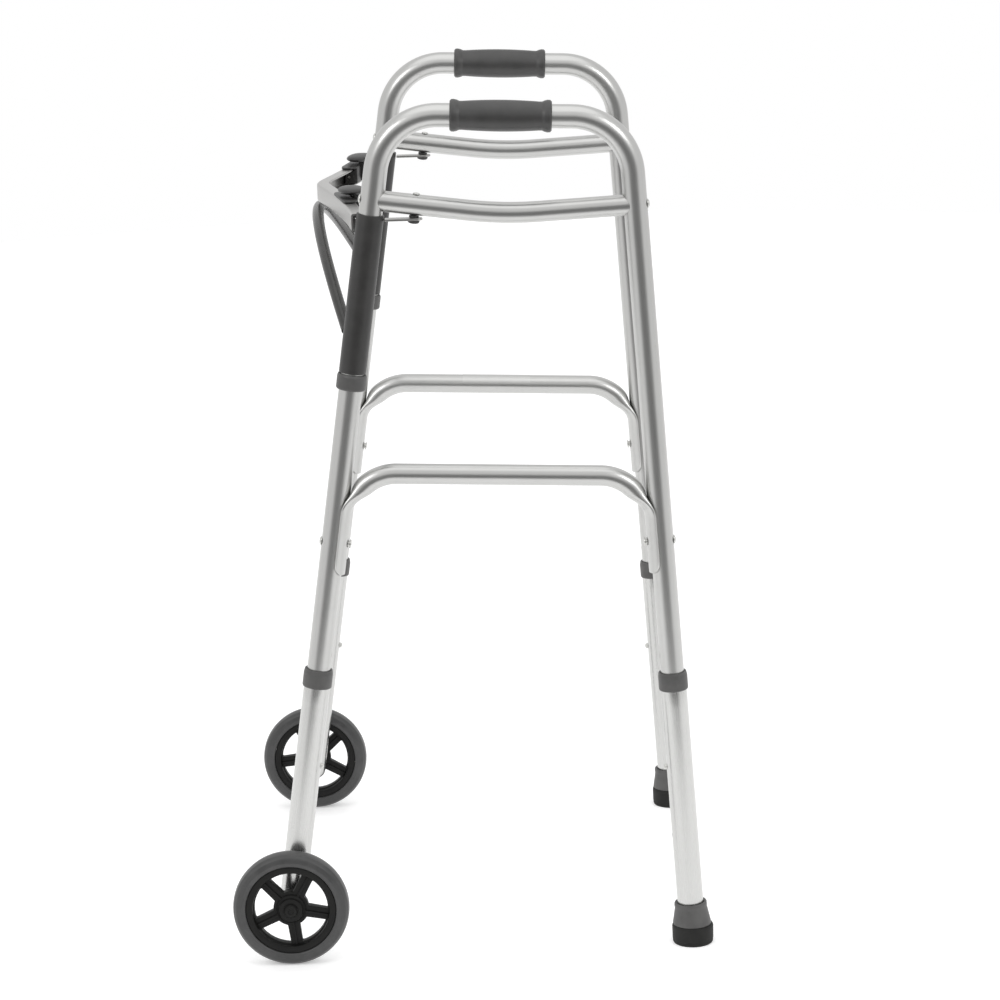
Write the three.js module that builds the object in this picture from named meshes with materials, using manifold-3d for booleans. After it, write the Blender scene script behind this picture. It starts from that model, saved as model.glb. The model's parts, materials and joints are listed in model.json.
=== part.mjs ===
// Folding front-wheeled walking frame, in millimetres.
// X runs across the frame (left side positive), Y runs from the front (negative) to the user
// (positive), Z is up. The origin is on the floor under the middle of the bounding box.
import * as THREE from 'three';
import Module from 'manifold-3d';
import { mergeVertices } from 'three/addons/utils/BufferGeometryUtils.js';

const wasm = await Module();
wasm.setup();

// ---- driving dimensions -------------------------------------------------------------------
const HALF_SPAN = 244;            // side frame plane to the middle of the walker
const BASE_SHIFT_Y = 55.38;       // moves the frame so that the origin is under its middle
const HANDLE_Z = 919.5;           // handle centre height half way along
const FALL = 0.04;                // the handle and the braces fall this much per mm rearwards
const FRONT_TOP_Y = -125;         // front leg axis at handle height
const FRONT_SLOPE = 0.1517;       // forward run of the front leg per mm of drop
const REAR_TOP_Y = 133.5;         // rear leg axis at handle height
const REAR_SLOPE = 0.0564;        // rearward run of the rear leg per mm of drop
const TUBE_R = 12.7;              // 25.4 mm frame tube
const TUBE_BORE = 11.4;
const HANDLE_BEND = 65;           // bend radius of the handle corners, on the centre line
const EXTENSION_R = 14.3;         // 28.6 mm leg extension, slides over the frame tube
const EXTENSION_BORE = 13.3;
const BRACE_R = 11.1;             // 22.2 mm side braces
const BRACE_BORE = 9.9;
const HOLE_PITCH = 25.4;          // height adjustment step
const STEPS_UP = 4;
const STEPS_DOWN = 1;
const WHEEL_R = 63.5;             // 127 mm wheel
const GAP = 0.35;                 // clearance between neighbouring pieces

const FRONT_BUTTON_Z = 217;
const REAR_BUTTON_Z = 203;
const FRONT_TUBE_END_Z = 177;
const REAR_TUBE_END_Z = 163;

const FACETS = 12;
const WHEEL_FACETS = 24;

// ---- finishes -----------------------------------------------------------------------------
function finish(colour, roughness, metalness) {
  return new THREE.MeshStandardMaterial({ color: colour, roughness, metalness });
}
const ALUMINIUM = finish(0xc9cac6, 0.38, 0.9);
const BRIGHT = finish(0xb9b8b2, 0.3, 0.9);
const DARK_PLASTIC = finish(0x3b3a39, 0.55, 0.0);
const GREY_PLASTIC = finish(0x646362, 0.6, 0.0);
const GREY_PAINT = finish(0x565452, 0.35, 0.3);
const STEEL = finish(0x8d8c88, 0.35, 0.9);
const RIM_PLASTIC = finish(0x24241f, 0.5, 0.0);
const TYRE_RUBBER = finish(0x565554, 0.45, 0.0);
const BASE_RUBBER = finish(0x2a2a27, 0.8, 0.0);
const GRIP_RUBBER = finish(0x474644, 0.7, 0.0);

// ---- small geometry helpers ---------------------------------------------------------------
const AXIS_X = new THREE.Vector3(1, 0, 0);

function signedVolume(geometry) {
  const p = geometry.attributes.position;
  const index = geometry.index;
  const a = new THREE.Vector3();
  const b = new THREE.Vector3();
  const c = new THREE.Vector3();
  let total = 0;
  for (let i = 0; i < index.count; i += 3) {
    a.fromBufferAttribute(p, index.getX(i));
    b.fromBufferAttribute(p, index.getX(i + 1));
    c.fromBufferAttribute(p, index.getX(i + 2));
    total += a.dot(b.cross(c)) / 6;
  }
  return total;
}

function geometryFrom(points, triangles) {
  const geometry = new THREE.BufferGeometry();
  const flat = [];
  points.forEach((p) => flat.push(p.x, p.y, p.z));
  geometry.setAttribute('position', new THREE.Float32BufferAttribute(flat, 3));
  geometry.setIndex(triangles);
  if (signedVolume(geometry) < 0) {
    const turned = [];
    for (let i = 0; i < triangles.length; i += 3) {
      turned.push(triangles[i], triangles[i + 2], triangles[i + 1]);
    }
    geometry.setIndex(turned);
  }
  return geometry;
}

// Closed skin over a run of outer rings, with a matching run of inner rings when it is hollow.
function skin(outer, inner = null) {
  const n = outer[0].length;
  const m = outer.length;
  const points = outer.flat();
  const triangles = [];
  const quad = (a, b, c, d) => triangles.push(a, b, c, a, c, d);
  for (let i = 0; i < m - 1; i += 1) {
    for (let j = 0; j < n; j += 1) {
      const k = (j + 1) % n;
      quad(i * n + j, i * n + k, (i + 1) * n + k, (i + 1) * n + j);
    }
  }
  if (inner === null) {
    for (let j = 1; j < n - 1; j += 1) {
      triangles.push(0, j + 1, j);
      triangles.push((m - 1) * n, (m - 1) * n + j, (m - 1) * n + j + 1);
    }
    return geometryFrom(points, triangles);
  }
  const base = m * n;
  points.push(...inner.flat());
  for (let i = 0; i < m - 1; i += 1) {
    for (let j = 0; j < n; j += 1) {
      const k = (j + 1) % n;
      quad(base + i * n + j, base + (i + 1) * n + j, base + (i + 1) * n + k, base + i * n + k);
    }
  }
  for (let j = 0; j < n; j += 1) {
    const k = (j + 1) % n;
    const last = (m - 1) * n;
    quad(j, base + j, base + k, k);
    quad(last + j, last + k, base + last + k, base + last + j);
  }
  return geometryFrom(points, triangles);
}

// Polyline through corner points with each inner corner turned on the given radius.
function roundedPath(corners, radius, steps) {
  const path = [corners[0].clone()];
  for (let i = 1; i < corners.length - 1; i += 1) {
    const before = corners[i - 1].clone().sub(corners[i]).normalize();
    const after = corners[i + 1].clone().sub(corners[i]).normalize();
    const half = Math.acos(before.dot(after)) / 2;
    const cut = radius / Math.tan(half);
    const bisector = before.clone().add(after).normalize();
    const centre = corners[i].clone().addScaledVector(bisector, radius / Math.sin(half));
    const from = corners[i].clone().addScaledVector(before, cut).sub(centre);
    const to = corners[i].clone().addScaledVector(after, cut).sub(centre);
    const normal = from.clone().cross(to).normalize();
    const turn = Math.PI - 2 * half;
    for (let s = 0; s <= steps; s += 1) {
      path.push(from.clone().applyAxisAngle(normal, (turn * s) / steps).add(centre));
    }
  }
  path.push(corners[corners.length - 1].clone());
  return path;
}

function tangentsOf(path) {
  return path.map((p, i) => {
    const t = new THREE.Vector3();
    if (i > 0) t.add(p.clone().sub(path[i - 1]).normalize());
    if (i < path.length - 1) t.add(path[i + 1].clone().sub(p).normalize());
    return t.normalize();
  });
}

// Rings of a planar run: `side` is the normal of the plane the path lies in.
function ringsAlong(path, side, profile) {
  const tangents = tangentsOf(path);
  return path.map((p, i) => {
    const across = tangents[i].clone().cross(side).normalize();
    return profile(i).map(([a, b]) => p.clone().addScaledVector(side, a).addScaledVector(across, b));
  });
}

function circle(radius, n = FACETS) {
  const loop = [];
  for (let j = 0; j < n; j += 1) {
    const angle = ((j + 0.5) * 2 * Math.PI) / n;
    loop.push([radius * Math.cos(angle), radius * Math.sin(angle)]);
  }
  return loop;
}

function pipe(path, side, outerR, innerR, n = FACETS) {
  const outer = ringsAlong(path, side, () => circle(outerR, n));
  return skin(outer, innerR ? ringsAlong(path, side, () => circle(innerR, n)) : null);
}

// Turned piece: profile is a closed loop of [radius, height]; height runs along `axis` from `at`.
function turned(profile, at, axis, n = 24) {
  const loop = profile.map(([r, h]) => new THREE.Vector2(r, h));
  loop.push(loop[0].clone());
  const geometry = new THREE.LatheGeometry(loop, n);
  const turn = new THREE.Quaternion().setFromUnitVectors(new THREE.Vector3(0, 1, 0), axis);
  geometry.applyQuaternion(turn);
  geometry.translate(at.x, at.y, at.z);
  return tidy(geometry);
}

function tidy(geometry) {
  geometry.deleteAttribute('normal');
  geometry.deleteAttribute('uv');
  const merged = mergeVertices(geometry, 1e-4);
  const kept = [];
  const index = merged.index;
  for (let i = 0; i < index.count; i += 3) {
    const a = index.getX(i);
    const b = index.getX(i + 1);
    const c = index.getX(i + 2);
    if (a !== b && b !== c && c !== a) kept.push(a, b, c);
  }
  merged.setIndex(kept);
  if (signedVolume(merged) < 0) {
    const turnedIndex = [];
    for (let i = 0; i < kept.length; i += 3) turnedIndex.push(kept[i], kept[i + 2], kept[i + 1]);
    merged.setIndex(turnedIndex);
  }
  return merged;
}

function rod(from, to, radius, n = 12) {
  const axis = to.clone().sub(from);
  const length = axis.length();
  return turned([[0, 0], [radius, 0], [radius, length], [0, length]], from, axis.normalize(), n);
}

function block(size, at, turn = new THREE.Quaternion()) {
  const geometry = new THREE.BoxGeometry(size.x, size.y, size.z);
  geometry.applyQuaternion(turn);
  geometry.translate(at.x, at.y, at.z);
  return tidy(geometry);
}

function solidOf(geometry) {
  const mesh = new wasm.Mesh({
    numProp: 3,
    vertProperties: Float32Array.from(geometry.attributes.position.array),
    triVerts: Uint32Array.from(geometry.index.array),
  });
  mesh.merge();
  return new wasm.Manifold(mesh);
}

function geometryOf(solid) {
  const mesh = solid.getMesh();
  const geometry = new THREE.BufferGeometry();
  const p = [];
  for (let i = 0; i < mesh.numVert; i += 1) {
    for (let k = 0; k < 3; k += 1) p.push(mesh.vertProperties[i * mesh.numProp + k]);
  }
  geometry.setAttribute('position', new THREE.Float32BufferAttribute(p, 3));
  geometry.setIndex(Array.from(mesh.triVerts));
  return geometry;
}

function cut(geometry, cutters) {
  let solid = solidOf(geometry);
  cutters.forEach((cutter) => {
    solid = solid.subtract(solidOf(cutter));
  });
  return geometryOf(solid);
}

function join(pieces) {
  let solid = solidOf(pieces[0]);
  pieces.slice(1).forEach((piece) => {
    solid = solid.add(solidOf(piece));
  });
  return geometryOf(solid);
}

const model = new THREE.Group();
model.name = 'front_wheeled_walker';

function add(name, geometry, material) {
  const placed = geometry.clone();
  placed.translate(0, BASE_SHIFT_Y, 0);
  placed.computeVertexNormals();
  const mesh = new THREE.Mesh(placed, material);
  mesh.name = name;
  model.add(mesh);
}

// ---- leg lines ----------------------------------------------------------------------------
const at = (x, y, z) => new THREE.Vector3(x, y, z);
const frontAxis = at(0, FRONT_SLOPE, 1).normalize();
const rearAxis = at(0, -REAR_SLOPE, 1).normalize();
const frontPoint = (x, z) => at(x, FRONT_TOP_Y - FRONT_SLOPE * (HANDLE_Z - z), z);
const rearPoint = (x, z) => at(x, REAR_TOP_Y + REAR_SLOPE * (HANDLE_Z - z), z);
// unit vectors square to each leg, pointing into the side frame
const frontInward = at(0, 1, -FRONT_SLOPE).normalize();
const rearInward = at(0, -1, -REAR_SLOPE).normalize();

// Where a leg line, moved inwards by `offset`, meets a line of the given height and fall.
function meet(point, axis, inward, offset, height) {
  const p = point.clone().addScaledVector(inward, offset);
  const s = (height - FALL * p.y - p.z) / (axis.z + FALL * axis.y);
  return p.addScaledVector(axis, s);
}

// ---- side frame pieces --------------------------------------------------------------------
const UPPER_BRACE_FRONT_Z = 834;
const UPPER_BRACE_MID_Z = 815.5;
const UPPER_BRACE_REAR_Z = 821;
const LOWER_BRACE_Z = 536.5;
const LOWER_BRACE_FRONT_END_Z = 432;
const LOWER_BRACE_REAR_END_Z = 425;
const LOWER_RIVET_FRONT_Z = 466;
const LOWER_RIVET_REAR_Z = 457;
const LATCH_BOLT_Y = -91;
const LATCH_BAR_Z = 813.4;

function rivetRun(point, inward, through, inset) {
  // rivet on the outer face of a leg, its shank running inwards
  const outside = point.clone().addScaledVector(inward, -TUBE_R - GAP);
  const stem = TUBE_R * 2 + through;
  const tail = inset
    ? [[3, stem], [5, stem], [4.2, stem + 2], [0, stem + 2.4]]
    : [[3, stem], [0, stem]];
  return turned([[0, -2.4], [4, -2], [5, 0], [3, 0], ...tail], outside, inward, 10);
}

function sideFrame(x) {
  const foot = frontPoint(x, FRONT_TUBE_END_Z);
  const heel = rearPoint(x, REAR_TUBE_END_Z);
  const frontCorner = meet(frontPoint(x, HANDLE_Z), frontAxis, frontInward, 0, HANDLE_Z);
  const rearCorner = meet(rearPoint(x, HANDLE_Z), rearAxis, rearInward, 0, HANDLE_Z);
  const path = roundedPath([foot, frontCorner, rearCorner, heel], HANDLE_BEND, 6);
  const tube = pipe(path, AXIS_X, TUBE_R, TUBE_BORE);
  const cutters = [];
  const bores = [
    [frontPoint(x, UPPER_BRACE_FRONT_Z), frontInward],
    [frontPoint(x, LOWER_RIVET_FRONT_Z), frontInward],
    [rearPoint(x, UPPER_BRACE_REAR_Z), rearInward],
    [rearPoint(x, LOWER_RIVET_REAR_Z), rearInward],
  ];
  bores.forEach(([p, d]) => {
    cutters.push(rod(p.clone().addScaledVector(d, -20), p.clone().addScaledVector(d, 20), 3.6, 8));
  });
  // height setting: the row of button holes is one slot, plus the free hole above the collar
  const legs = [
    [frontPoint(x, FRONT_BUTTON_Z), frontAxis, frontInward],
    [rearPoint(x, REAR_BUTTON_Z), rearAxis, rearInward],
  ];
  legs.forEach(([p, axis, inward]) => {
    const middle = ((STEPS_UP - STEPS_DOWN) * HOLE_PITCH) / 2;
    const length = (STEPS_UP + STEPS_DOWN) * HOLE_PITCH + 8;
    const centre = p.clone().addScaledVector(axis, middle).addScaledVector(inward, 12);
    const basis = new THREE.Matrix4().makeBasis(AXIS_X, inward.clone().cross(AXIS_X), inward);
    const turn = new THREE.Quaternion().setFromRotationMatrix(basis);
    cutters.push(block(at(7.4, length, 10), centre, turn));
    const free = p.clone().addScaledVector(axis, 5 * HOLE_PITCH);
    cutters.push(rod(free.clone().addScaledVector(inward, 6), free.clone().addScaledVector(inward, 20), 3.5, 10));
  });
  return cut(tube, cutters);
}

function legCutter(point, axis, radius) {
  const from = point.clone().addScaledVector(axis, -60);
  const to = point.clone().addScaledVector(axis, 60);
  return rod(from, to, radius, FACETS);
}

function upperBracePath(x) {
  return roundedPath([
    frontPoint(x, UPPER_BRACE_FRONT_Z),
    at(x, 0, UPPER_BRACE_MID_Z),
    rearPoint(x, UPPER_BRACE_REAR_Z),
  ], 420, 2);
}

function latchBoltLine(x) {
  const front = frontPoint(x, UPPER_BRACE_FRONT_Z);
  const fall = (front.z - UPPER_BRACE_MID_Z) / -front.y;
  const z = UPPER_BRACE_MID_Z - fall * LATCH_BOLT_Y;
  return { centre: at(x, LATCH_BOLT_Y, z), up: at(0, fall, 1).normalize() };
}

function upperBrace(x) {
  const bolt = latchBoltLine(x);
  return cut(pipe(upperBracePath(x), AXIS_X, BRACE_R, BRACE_BORE), [
    legCutter(frontPoint(x, UPPER_BRACE_FRONT_Z), frontAxis, TUBE_R + 0.6),
    legCutter(rearPoint(x, UPPER_BRACE_REAR_Z), rearAxis, TUBE_R + 0.6),
    rod(bolt.centre.clone().addScaledVector(bolt.up, -20), bolt.centre.clone().addScaledVector(bolt.up, 20), 3.4, 8),
  ]);
}

// Lower brace: a bent tube whose ends are pressed into half-moon tabs that hug the legs.
const FLAT_TURN = (46 * Math.PI) / 180;
const BRACE_BEND = 50;
const TAB_WRAP = (72 * Math.PI) / 180;
const TAB_MID_R = TUBE_R + 0.8 + 1.9;

function lowerBrace(x) {
  const ends = [
    { z: LOWER_BRACE_FRONT_END_Z, point: frontPoint, axis: frontAxis, inward: frontInward },
    { z: LOWER_BRACE_REAR_END_Z, point: rearPoint, axis: rearAxis, inward: rearInward },
  ];
  const starts = ends.map((e) => e.point(x, e.z).addScaledVector(e.inward, TAB_MID_R));
  const corners = ends.map((e) => meet(e.point(x, e.z), e.axis, e.inward, TAB_MID_R, LOWER_BRACE_Z));
  const path = roundedPath([starts[0], corners[0], corners[1], starts[1]], BRACE_BEND, 7);
  const tangents = tangentsOf(path);
  const rings = (radius, half) => path.map((p, i) => {
    const front = i < path.length / 2;
    const e = ends[front ? 0 : 1];
    const swing = Math.acos(Math.min(1, Math.abs(tangents[i].dot(e.axis))));
    const t = Math.min(1, swing / FLAT_TURN);
    const round = t * t * t * (t * (6 * t - 15) + 10);
    const across = tangents[i].clone().cross(AXIS_X).normalize();
    const sign = -Math.sign(across.dot(e.inward)) || 1;
    const away = across.clone().multiplyScalar(-sign);
    return circle(1).map(([a, b]) => {
      const full = p.clone().addScaledVector(AXIS_X, a * radius).addScaledVector(across, b * radius);
      const wrap = a * TAB_WRAP * (half > 1 ? 1 : 0.93);
      const r = TAB_MID_R - half * THREE.MathUtils.clamp(sign * b * 2.4, -1, 1);
      const axisPoint = p.clone().addScaledVector(away, -TAB_MID_R);
      const tab = axisPoint
        .addScaledVector(away, r * Math.cos(wrap))
        .addScaledVector(AXIS_X, r * Math.sin(wrap));
      return tab.lerp(full, round);
    });
  });
  const tube = skin(rings(BRACE_R, 1.9), rings(BRACE_BORE, 0.35));
  const bores = [
    [frontPoint(x, LOWER_RIVET_FRONT_Z), frontInward],
    [rearPoint(x, LOWER_RIVET_REAR_Z), rearInward],
  ];
  return cut(tube, bores.map(([p, d]) => (
    rod(p.clone().addScaledVector(d, 6), p.clone().addScaledVector(d, 30), 3.6, 8))));
}

function grip(x) {
  const along = at(0, 1, -FALL).normalize();
  const start = at(x, 0, HANDLE_Z).addScaledVector(along, -53.5);
  const outer = [[13.2, 0], [16, 0.6], [17, 3.5], [16.8, 7], [15.3, 10], [15.2, 24], [16.6, 53.5]];
  const back = outer.slice(1, -1).reverse().map(([r, h]) => [r, 107 - h]);
  return turned([...outer, ...back, [13.2, 107]], start, along, 16);
}

function latchBar(x) {
  // level strip under the upper brace, from its bolt forwards to the hinge sleeve
  const { centre, up } = latchBoltLine(x);
  const leg = frontPoint(x, LATCH_BAR_Z);
  const tipY = leg.y + SLEEVE_R + 1.1;
  const path = [
    at(x, LATCH_BOLT_Y + 6, LATCH_BAR_Z),
    at(x, LATCH_BOLT_Y - 6, LATCH_BAR_Z),
    at(x, tipY, LATCH_BAR_Z),
  ];
  const half = 1.25;
  const widths = [5, 6.5, 6.5];
  const strip = (w) => [[-w, -half], [w, -half], [w, half], [-w, half]];
  const bar = skin(ringsAlong(path, AXIS_X, (i) => strip(widths[i])));
  return cut(bar, [rod(centre.clone().addScaledVector(up, -24), centre, 3.4, 8)]);
}

function latchBolt(x) {
  const { centre, up } = latchBoltLine(x);
  const low = -16.6;
  return turned([
    [0, low - 3.4], [5.2, low - 3], [6.2, low - 1.6], [6.2, low], [2.8, low],
    [2.8, BRACE_R + GAP], [3.9, BRACE_R + GAP], [3.4, BRACE_R + 1.4], [0, BRACE_R + 1.7],
  ], centre, up, 10);
}

// ---- front cross assembly -----------------------------------------------------------------
const SLEEVE_R = 14.6;
const SLEEVE_LOW_Z = 651;
const SLEEVE_TOP_Z = 820;
const BOW_NOSE_Y = -208;
const BOW_Z = 810;
const BOW_SLOPE = 0.3205;            // how fast each half of the bow runs back from the nose
const BOW_NOSE_R = 18;
const BOW_EASE = 0.00042;
const BOW_DEPTH = 14;
const BOW_HALF_HEIGHT = 10;
const BOW_WALL = 2;
const PADDLE_X = 131;
const ARCH_SPREAD = 580;            // the arch drops by x squared over this
const ARCH_LEAN = 0.39;

function bowLine(x) {
  // front face of the bow, seen from above: a blunt V with a rounded nose
  return BOW_NOSE_Y + BOW_SLOPE * (Math.hypot(x, BOW_NOSE_R) - BOW_NOSE_R) - BOW_EASE * x * x;
}

function sleeve(x) {
  const low = frontPoint(x, SLEEVE_LOW_Z);
  const length = frontPoint(x, SLEEVE_TOP_Z).distanceTo(low);
  return turned([
    [EXTENSION_BORE, 0], [SLEEVE_R - 0.4, 0], [SLEEVE_R, 0.8],
    [SLEEVE_R, length - 0.8], [SLEEVE_R - 0.4, length], [EXTENSION_BORE, length],
  ], low, frontAxis, FACETS);
}

function hingeCollar(x) {
  const low = frontPoint(x, 633);
  return turned([
    [TUBE_R + 0.5, 0], [15, 0], [15.9, 1.5], [15.9, 15], [15.2, 16.8], [TUBE_R + 0.5, 16.8],
  ], low, frontAxis, FACETS);
}

function sleeveCutters(z) {
  return [HALF_SPAN, -HALF_SPAN].map((x) => legCutter(frontPoint(x, z), frontAxis, SLEEVE_R + 0.5));
}

function frontBow() {
  // channel strip bowed forwards between the two sleeves, open towards the user
  const half = [5, 11, 18, 28, 45, 75, 110, 150, 195, 240];
  const stations = [...half.map((x) => -x).reverse(), 0, ...half];
  const path = stations.map((x) => at(x, bowLine(x), BOW_Z));
  const h = BOW_HALF_HEIGHT;
  const w = BOW_WALL;
  const d = BOW_DEPTH;
  const section = [
    [-h + 3, 0], [h - 3, 0], [h - 0.8, 0.9], [h, 3], [h, d], [h - w, d], [h - w, 3.4], [h - 3.6, w],
    [-h + 3.6, w], [-h + w, 3.4], [-h + w, d], [-h, d], [-h, 3], [-h + 0.8, 0.9],
  ];
  const up = at(0, 0, 1);
  const tangents = tangentsOf(path);
  const rings = path.map((p, i) => {
    const back = up.clone().cross(tangents[i]).normalize();
    return section.map(([a, b]) => p.clone().addScaledVector(up, a).addScaledVector(back, b));
  });
  return cut(channelSkin(rings, section), sleeveCutters(BOW_Z));
}

// Skin of a run of concave rings, with its end faces triangulated.
function channelSkin(rings, section) {
  const n = section.length;
  const m = rings.length;
  const contour = section.map(([a, b]) => new THREE.Vector2(a, b));
  const faces = THREE.ShapeUtils.triangulateShape(contour, []);
  const triangles = [];
  for (let i = 0; i < m - 1; i += 1) {
    for (let j = 0; j < n; j += 1) {
      const k = (j + 1) % n;
      triangles.push(i * n + j, i * n + k, (i + 1) * n + k, i * n + j, (i + 1) * n + k, (i + 1) * n + j);
    }
  }
  const ordered = THREE.ShapeUtils.isClockWise(contour) ? faces.map(([a, b, c]) => [a, c, b]) : faces;
  ordered.forEach(([a, b, c]) => {
    triangles.push(a, c, b);
    triangles.push((m - 1) * n + a, (m - 1) * n + b, (m - 1) * n + c);
  });
  return geometryFrom(rings.flat(), triangles);
}

function frontArch() {
  // round tube arching from one sleeve up under the bow and down to the other sleeve
  const crown = at(0, -207, 791);
  const path = [];
  const count = 12;
  for (let i = 0; i <= count; i += 1) {
    const x = -236 + (472 * i) / count;
    const drop = (x * x) / ARCH_SPREAD;
    path.push(at(x, crown.y + drop * ARCH_LEAN, crown.z - drop));
  }
  const plane = at(0, 1, ARCH_LEAN).normalize();
  return cut(pipe(path, plane, 6.35, 4.9, 10), sleeveCutters(705));
}

function paddleFrame(side) {
  // local frame of a release paddle on the bow: along the bow, towards the user, up
  const rise = (BOW_SLOPE * PADDLE_X) / Math.hypot(PADDLE_X, BOW_NOSE_R) - 2 * BOW_EASE * PADDLE_X;
  const a = Math.atan(rise);
  const along = at(Math.cos(a), side * Math.sin(a), 0);
  const back = at(-side * Math.sin(a), Math.cos(a), 0);
  const origin = at(side * PADDLE_X, bowLine(PADDLE_X), BOW_Z);
  const turn = new THREE.Quaternion().setFromRotationMatrix(
    new THREE.Matrix4().makeBasis(along, back, at(0, 0, 1)),
  );
  const place = (u, v, w) => origin.clone()
    .addScaledVector(along, u).addScaledVector(back, v).add(at(0, 0, w));
  return { along, back, turn, place };
}

const PIN_BACK = 7.5;
const PIN_UP = 0;

// Turns a flat outline (along the bow, towards the user) into a slab between two heights.
function slabOn(f, outline, low, high) {
  const shape = new THREE.Shape(outline.map(([u, v]) => new THREE.Vector2(u, v)));
  const slab = new THREE.ExtrudeGeometry(shape, { depth: high - low, bevelEnabled: false, steps: 1 });
  slab.translate(0, 0, low);
  slab.applyQuaternion(f.turn);
  const o = f.place(0, 0, 0);
  slab.translate(o.x, o.y, o.z);
  return tidy(slab);
}

function paddleHousing(side) {
  // saddle over the bow: a plate on its top flange and a cheek inside the channel on each side
  const f = paddleFrame(side);
  const plate = slabOn(f, [
    [-38, 6.8], [-36, 2], [-30, -0.4], [30, -0.4], [36, 2], [38, 6.8], [36, 12], [31, 14.6],
    [28, 18], [11.5, 18], [11.5, 13.6], [-11.5, 13.6], [-11.5, 18], [-28, 18], [-31, 14.6], [-36, 12],
  ], BOW_HALF_HEIGHT + 0.35, BOW_HALF_HEIGHT + 2.6);
  const parts = [plate];
  [-1, 1].forEach((s) => {
    parts.push(block(at(17, 14.2, 15.2), f.place(s * 19.5, 10.9, 0), f.turn));
    parts.push(block(at(17, 3.6, 20), f.place(s * 19.5, 16.2, 2.4), f.turn));
  });
  return cut(join(parts), [
    rod(f.place(-40, PIN_BACK, PIN_UP), f.place(40, PIN_BACK, PIN_UP), 2.4, 10),
  ]);
}

function paddlePin(side) {
  const f = paddleFrame(side);
  return rod(f.place(-26, PIN_BACK, PIN_UP), f.place(26, PIN_BACK, PIN_UP), 1.9, 10);
}

function releasePaddle(side) {
  const f = paddleFrame(side);
  // side outline of the lever in the plane (towards the user, up), pressed out across the bow
  const lever = new THREE.Shape([
    [3.2, -4.2], [4.6, -4.6], [12, -4.6], [19.5, -3.6], [21.6, -1], [21.2, 8], [22, 17], [14.9, 17],
    [15.3, 9], [14.9, 5], [12.3, 4.6], [4.6, 4.6], [3.2, 4.2],
  ].map(([u, v]) => new THREE.Vector2(u, v)));
  const arm = new THREE.ExtrudeGeometry(lever, { depth: 18, bevelEnabled: false, steps: 1 });
  arm.translate(0, 0, -9);
  // outline axes: x towards the user, y up, z along the bow
  const basis = new THREE.Matrix4().makeBasis(f.back, at(0, 0, 1), f.back.clone().cross(at(0, 0, 1)));
  arm.applyMatrix4(basis);
  const o = f.place(0, 0, 0);
  arm.translate(o.x, o.y, o.z);
  // mushroom pad
  const pad = new THREE.LatheGeometry([
    [0, 15.6], [0.7, 15.8], [0.98, 17.6], [0.9, 21], [0.6, 22.8], [0, 23.6],
  ].map(([r, h]) => new THREE.Vector2(r, h)), 16);
  pad.rotateX(Math.PI / 2);
  pad.scale(22, 14.5, 1);
  pad.applyQuaternion(f.turn);
  const c = f.place(0, 15, 0);
  pad.translate(c.x, c.y, c.z);
  const body = join([tidy(arm), tidy(pad)]);
  return cut(body, [rod(f.place(-12, PIN_BACK, PIN_UP), f.place(12, PIN_BACK, PIN_UP), 2.4, 10)]);
}

// ---- leg extensions -----------------------------------------------------------------------
const FRONT_EXTENSION_TOP_Z = 309;
const REAR_EXTENSION_TOP_Z = 294;
const REAR_EXTENSION_LOW_Z = 23;
const AXLE_Z = WHEEL_R;

function frontExtension(x) {
  const low = frontPoint(x, 46.5);
  const top = frontPoint(x, FRONT_EXTENSION_TOP_Z);
  const length = top.distanceTo(low);
  const r = EXTENSION_R;
  const tube = turned([
    [0, 0], [7.4, 1.2], [12.2, 4.8], [r, 10.5], [r, length], [EXTENSION_BORE, length],
    [EXTENSION_BORE, 12], [10, 6.5], [0, 4],
  ], low, frontAxis, FACETS);
  const axle = frontPoint(x, AXLE_Z);
  const button = frontPoint(x, FRONT_BUTTON_Z);
  return cut(tube, [
    rod(axle.clone().add(at(-30, 0, 0)), axle.clone().add(at(30, 0, 0)), 4.6, 10),
    rod(button, button.clone().addScaledVector(frontInward, 20), 3.8, 10),
  ]);
}

function rearExtension(x) {
  const low = rearPoint(x, REAR_EXTENSION_LOW_Z);
  const top = rearPoint(x, REAR_EXTENSION_TOP_Z);
  const tube = turned([
    [EXTENSION_BORE, 0], [EXTENSION_R, 0], [EXTENSION_R, top.distanceTo(low)],
    [EXTENSION_BORE, top.distanceTo(low)],
  ], low, rearAxis, FACETS);
  const button = rearPoint(x, REAR_BUTTON_Z);
  const spare = button.clone().addScaledVector(rearAxis, -3 * HOLE_PITCH);
  return cut(tube, [
    rod(button, button.clone().addScaledVector(rearInward, 20), 3.8, 10),
    rod(spare, spare.clone().addScaledVector(rearInward, 20), 3.8, 10),
  ]);
}

function legCollar(point, axis) {
  // ring capping the open top of an extension; `point` is where the extension ends
  return turned([
    [EXTENSION_R + 0.5, -3.5], [15.6, -3.5], [15.9, -2], [15.9, 13], [15, 16.5], [13.4, 16.5],
    [13.4, 1], [EXTENSION_R + 0.5, 1],
  ], point, axis, FACETS);
}

function snapButton(point, inward) {
  return turned([
    [0, 8.2], [3.2, 8.2], [3.2, 16.6], [2.4, 17.3], [0, 17.6],
  ], point, inward, 10);
}

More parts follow.
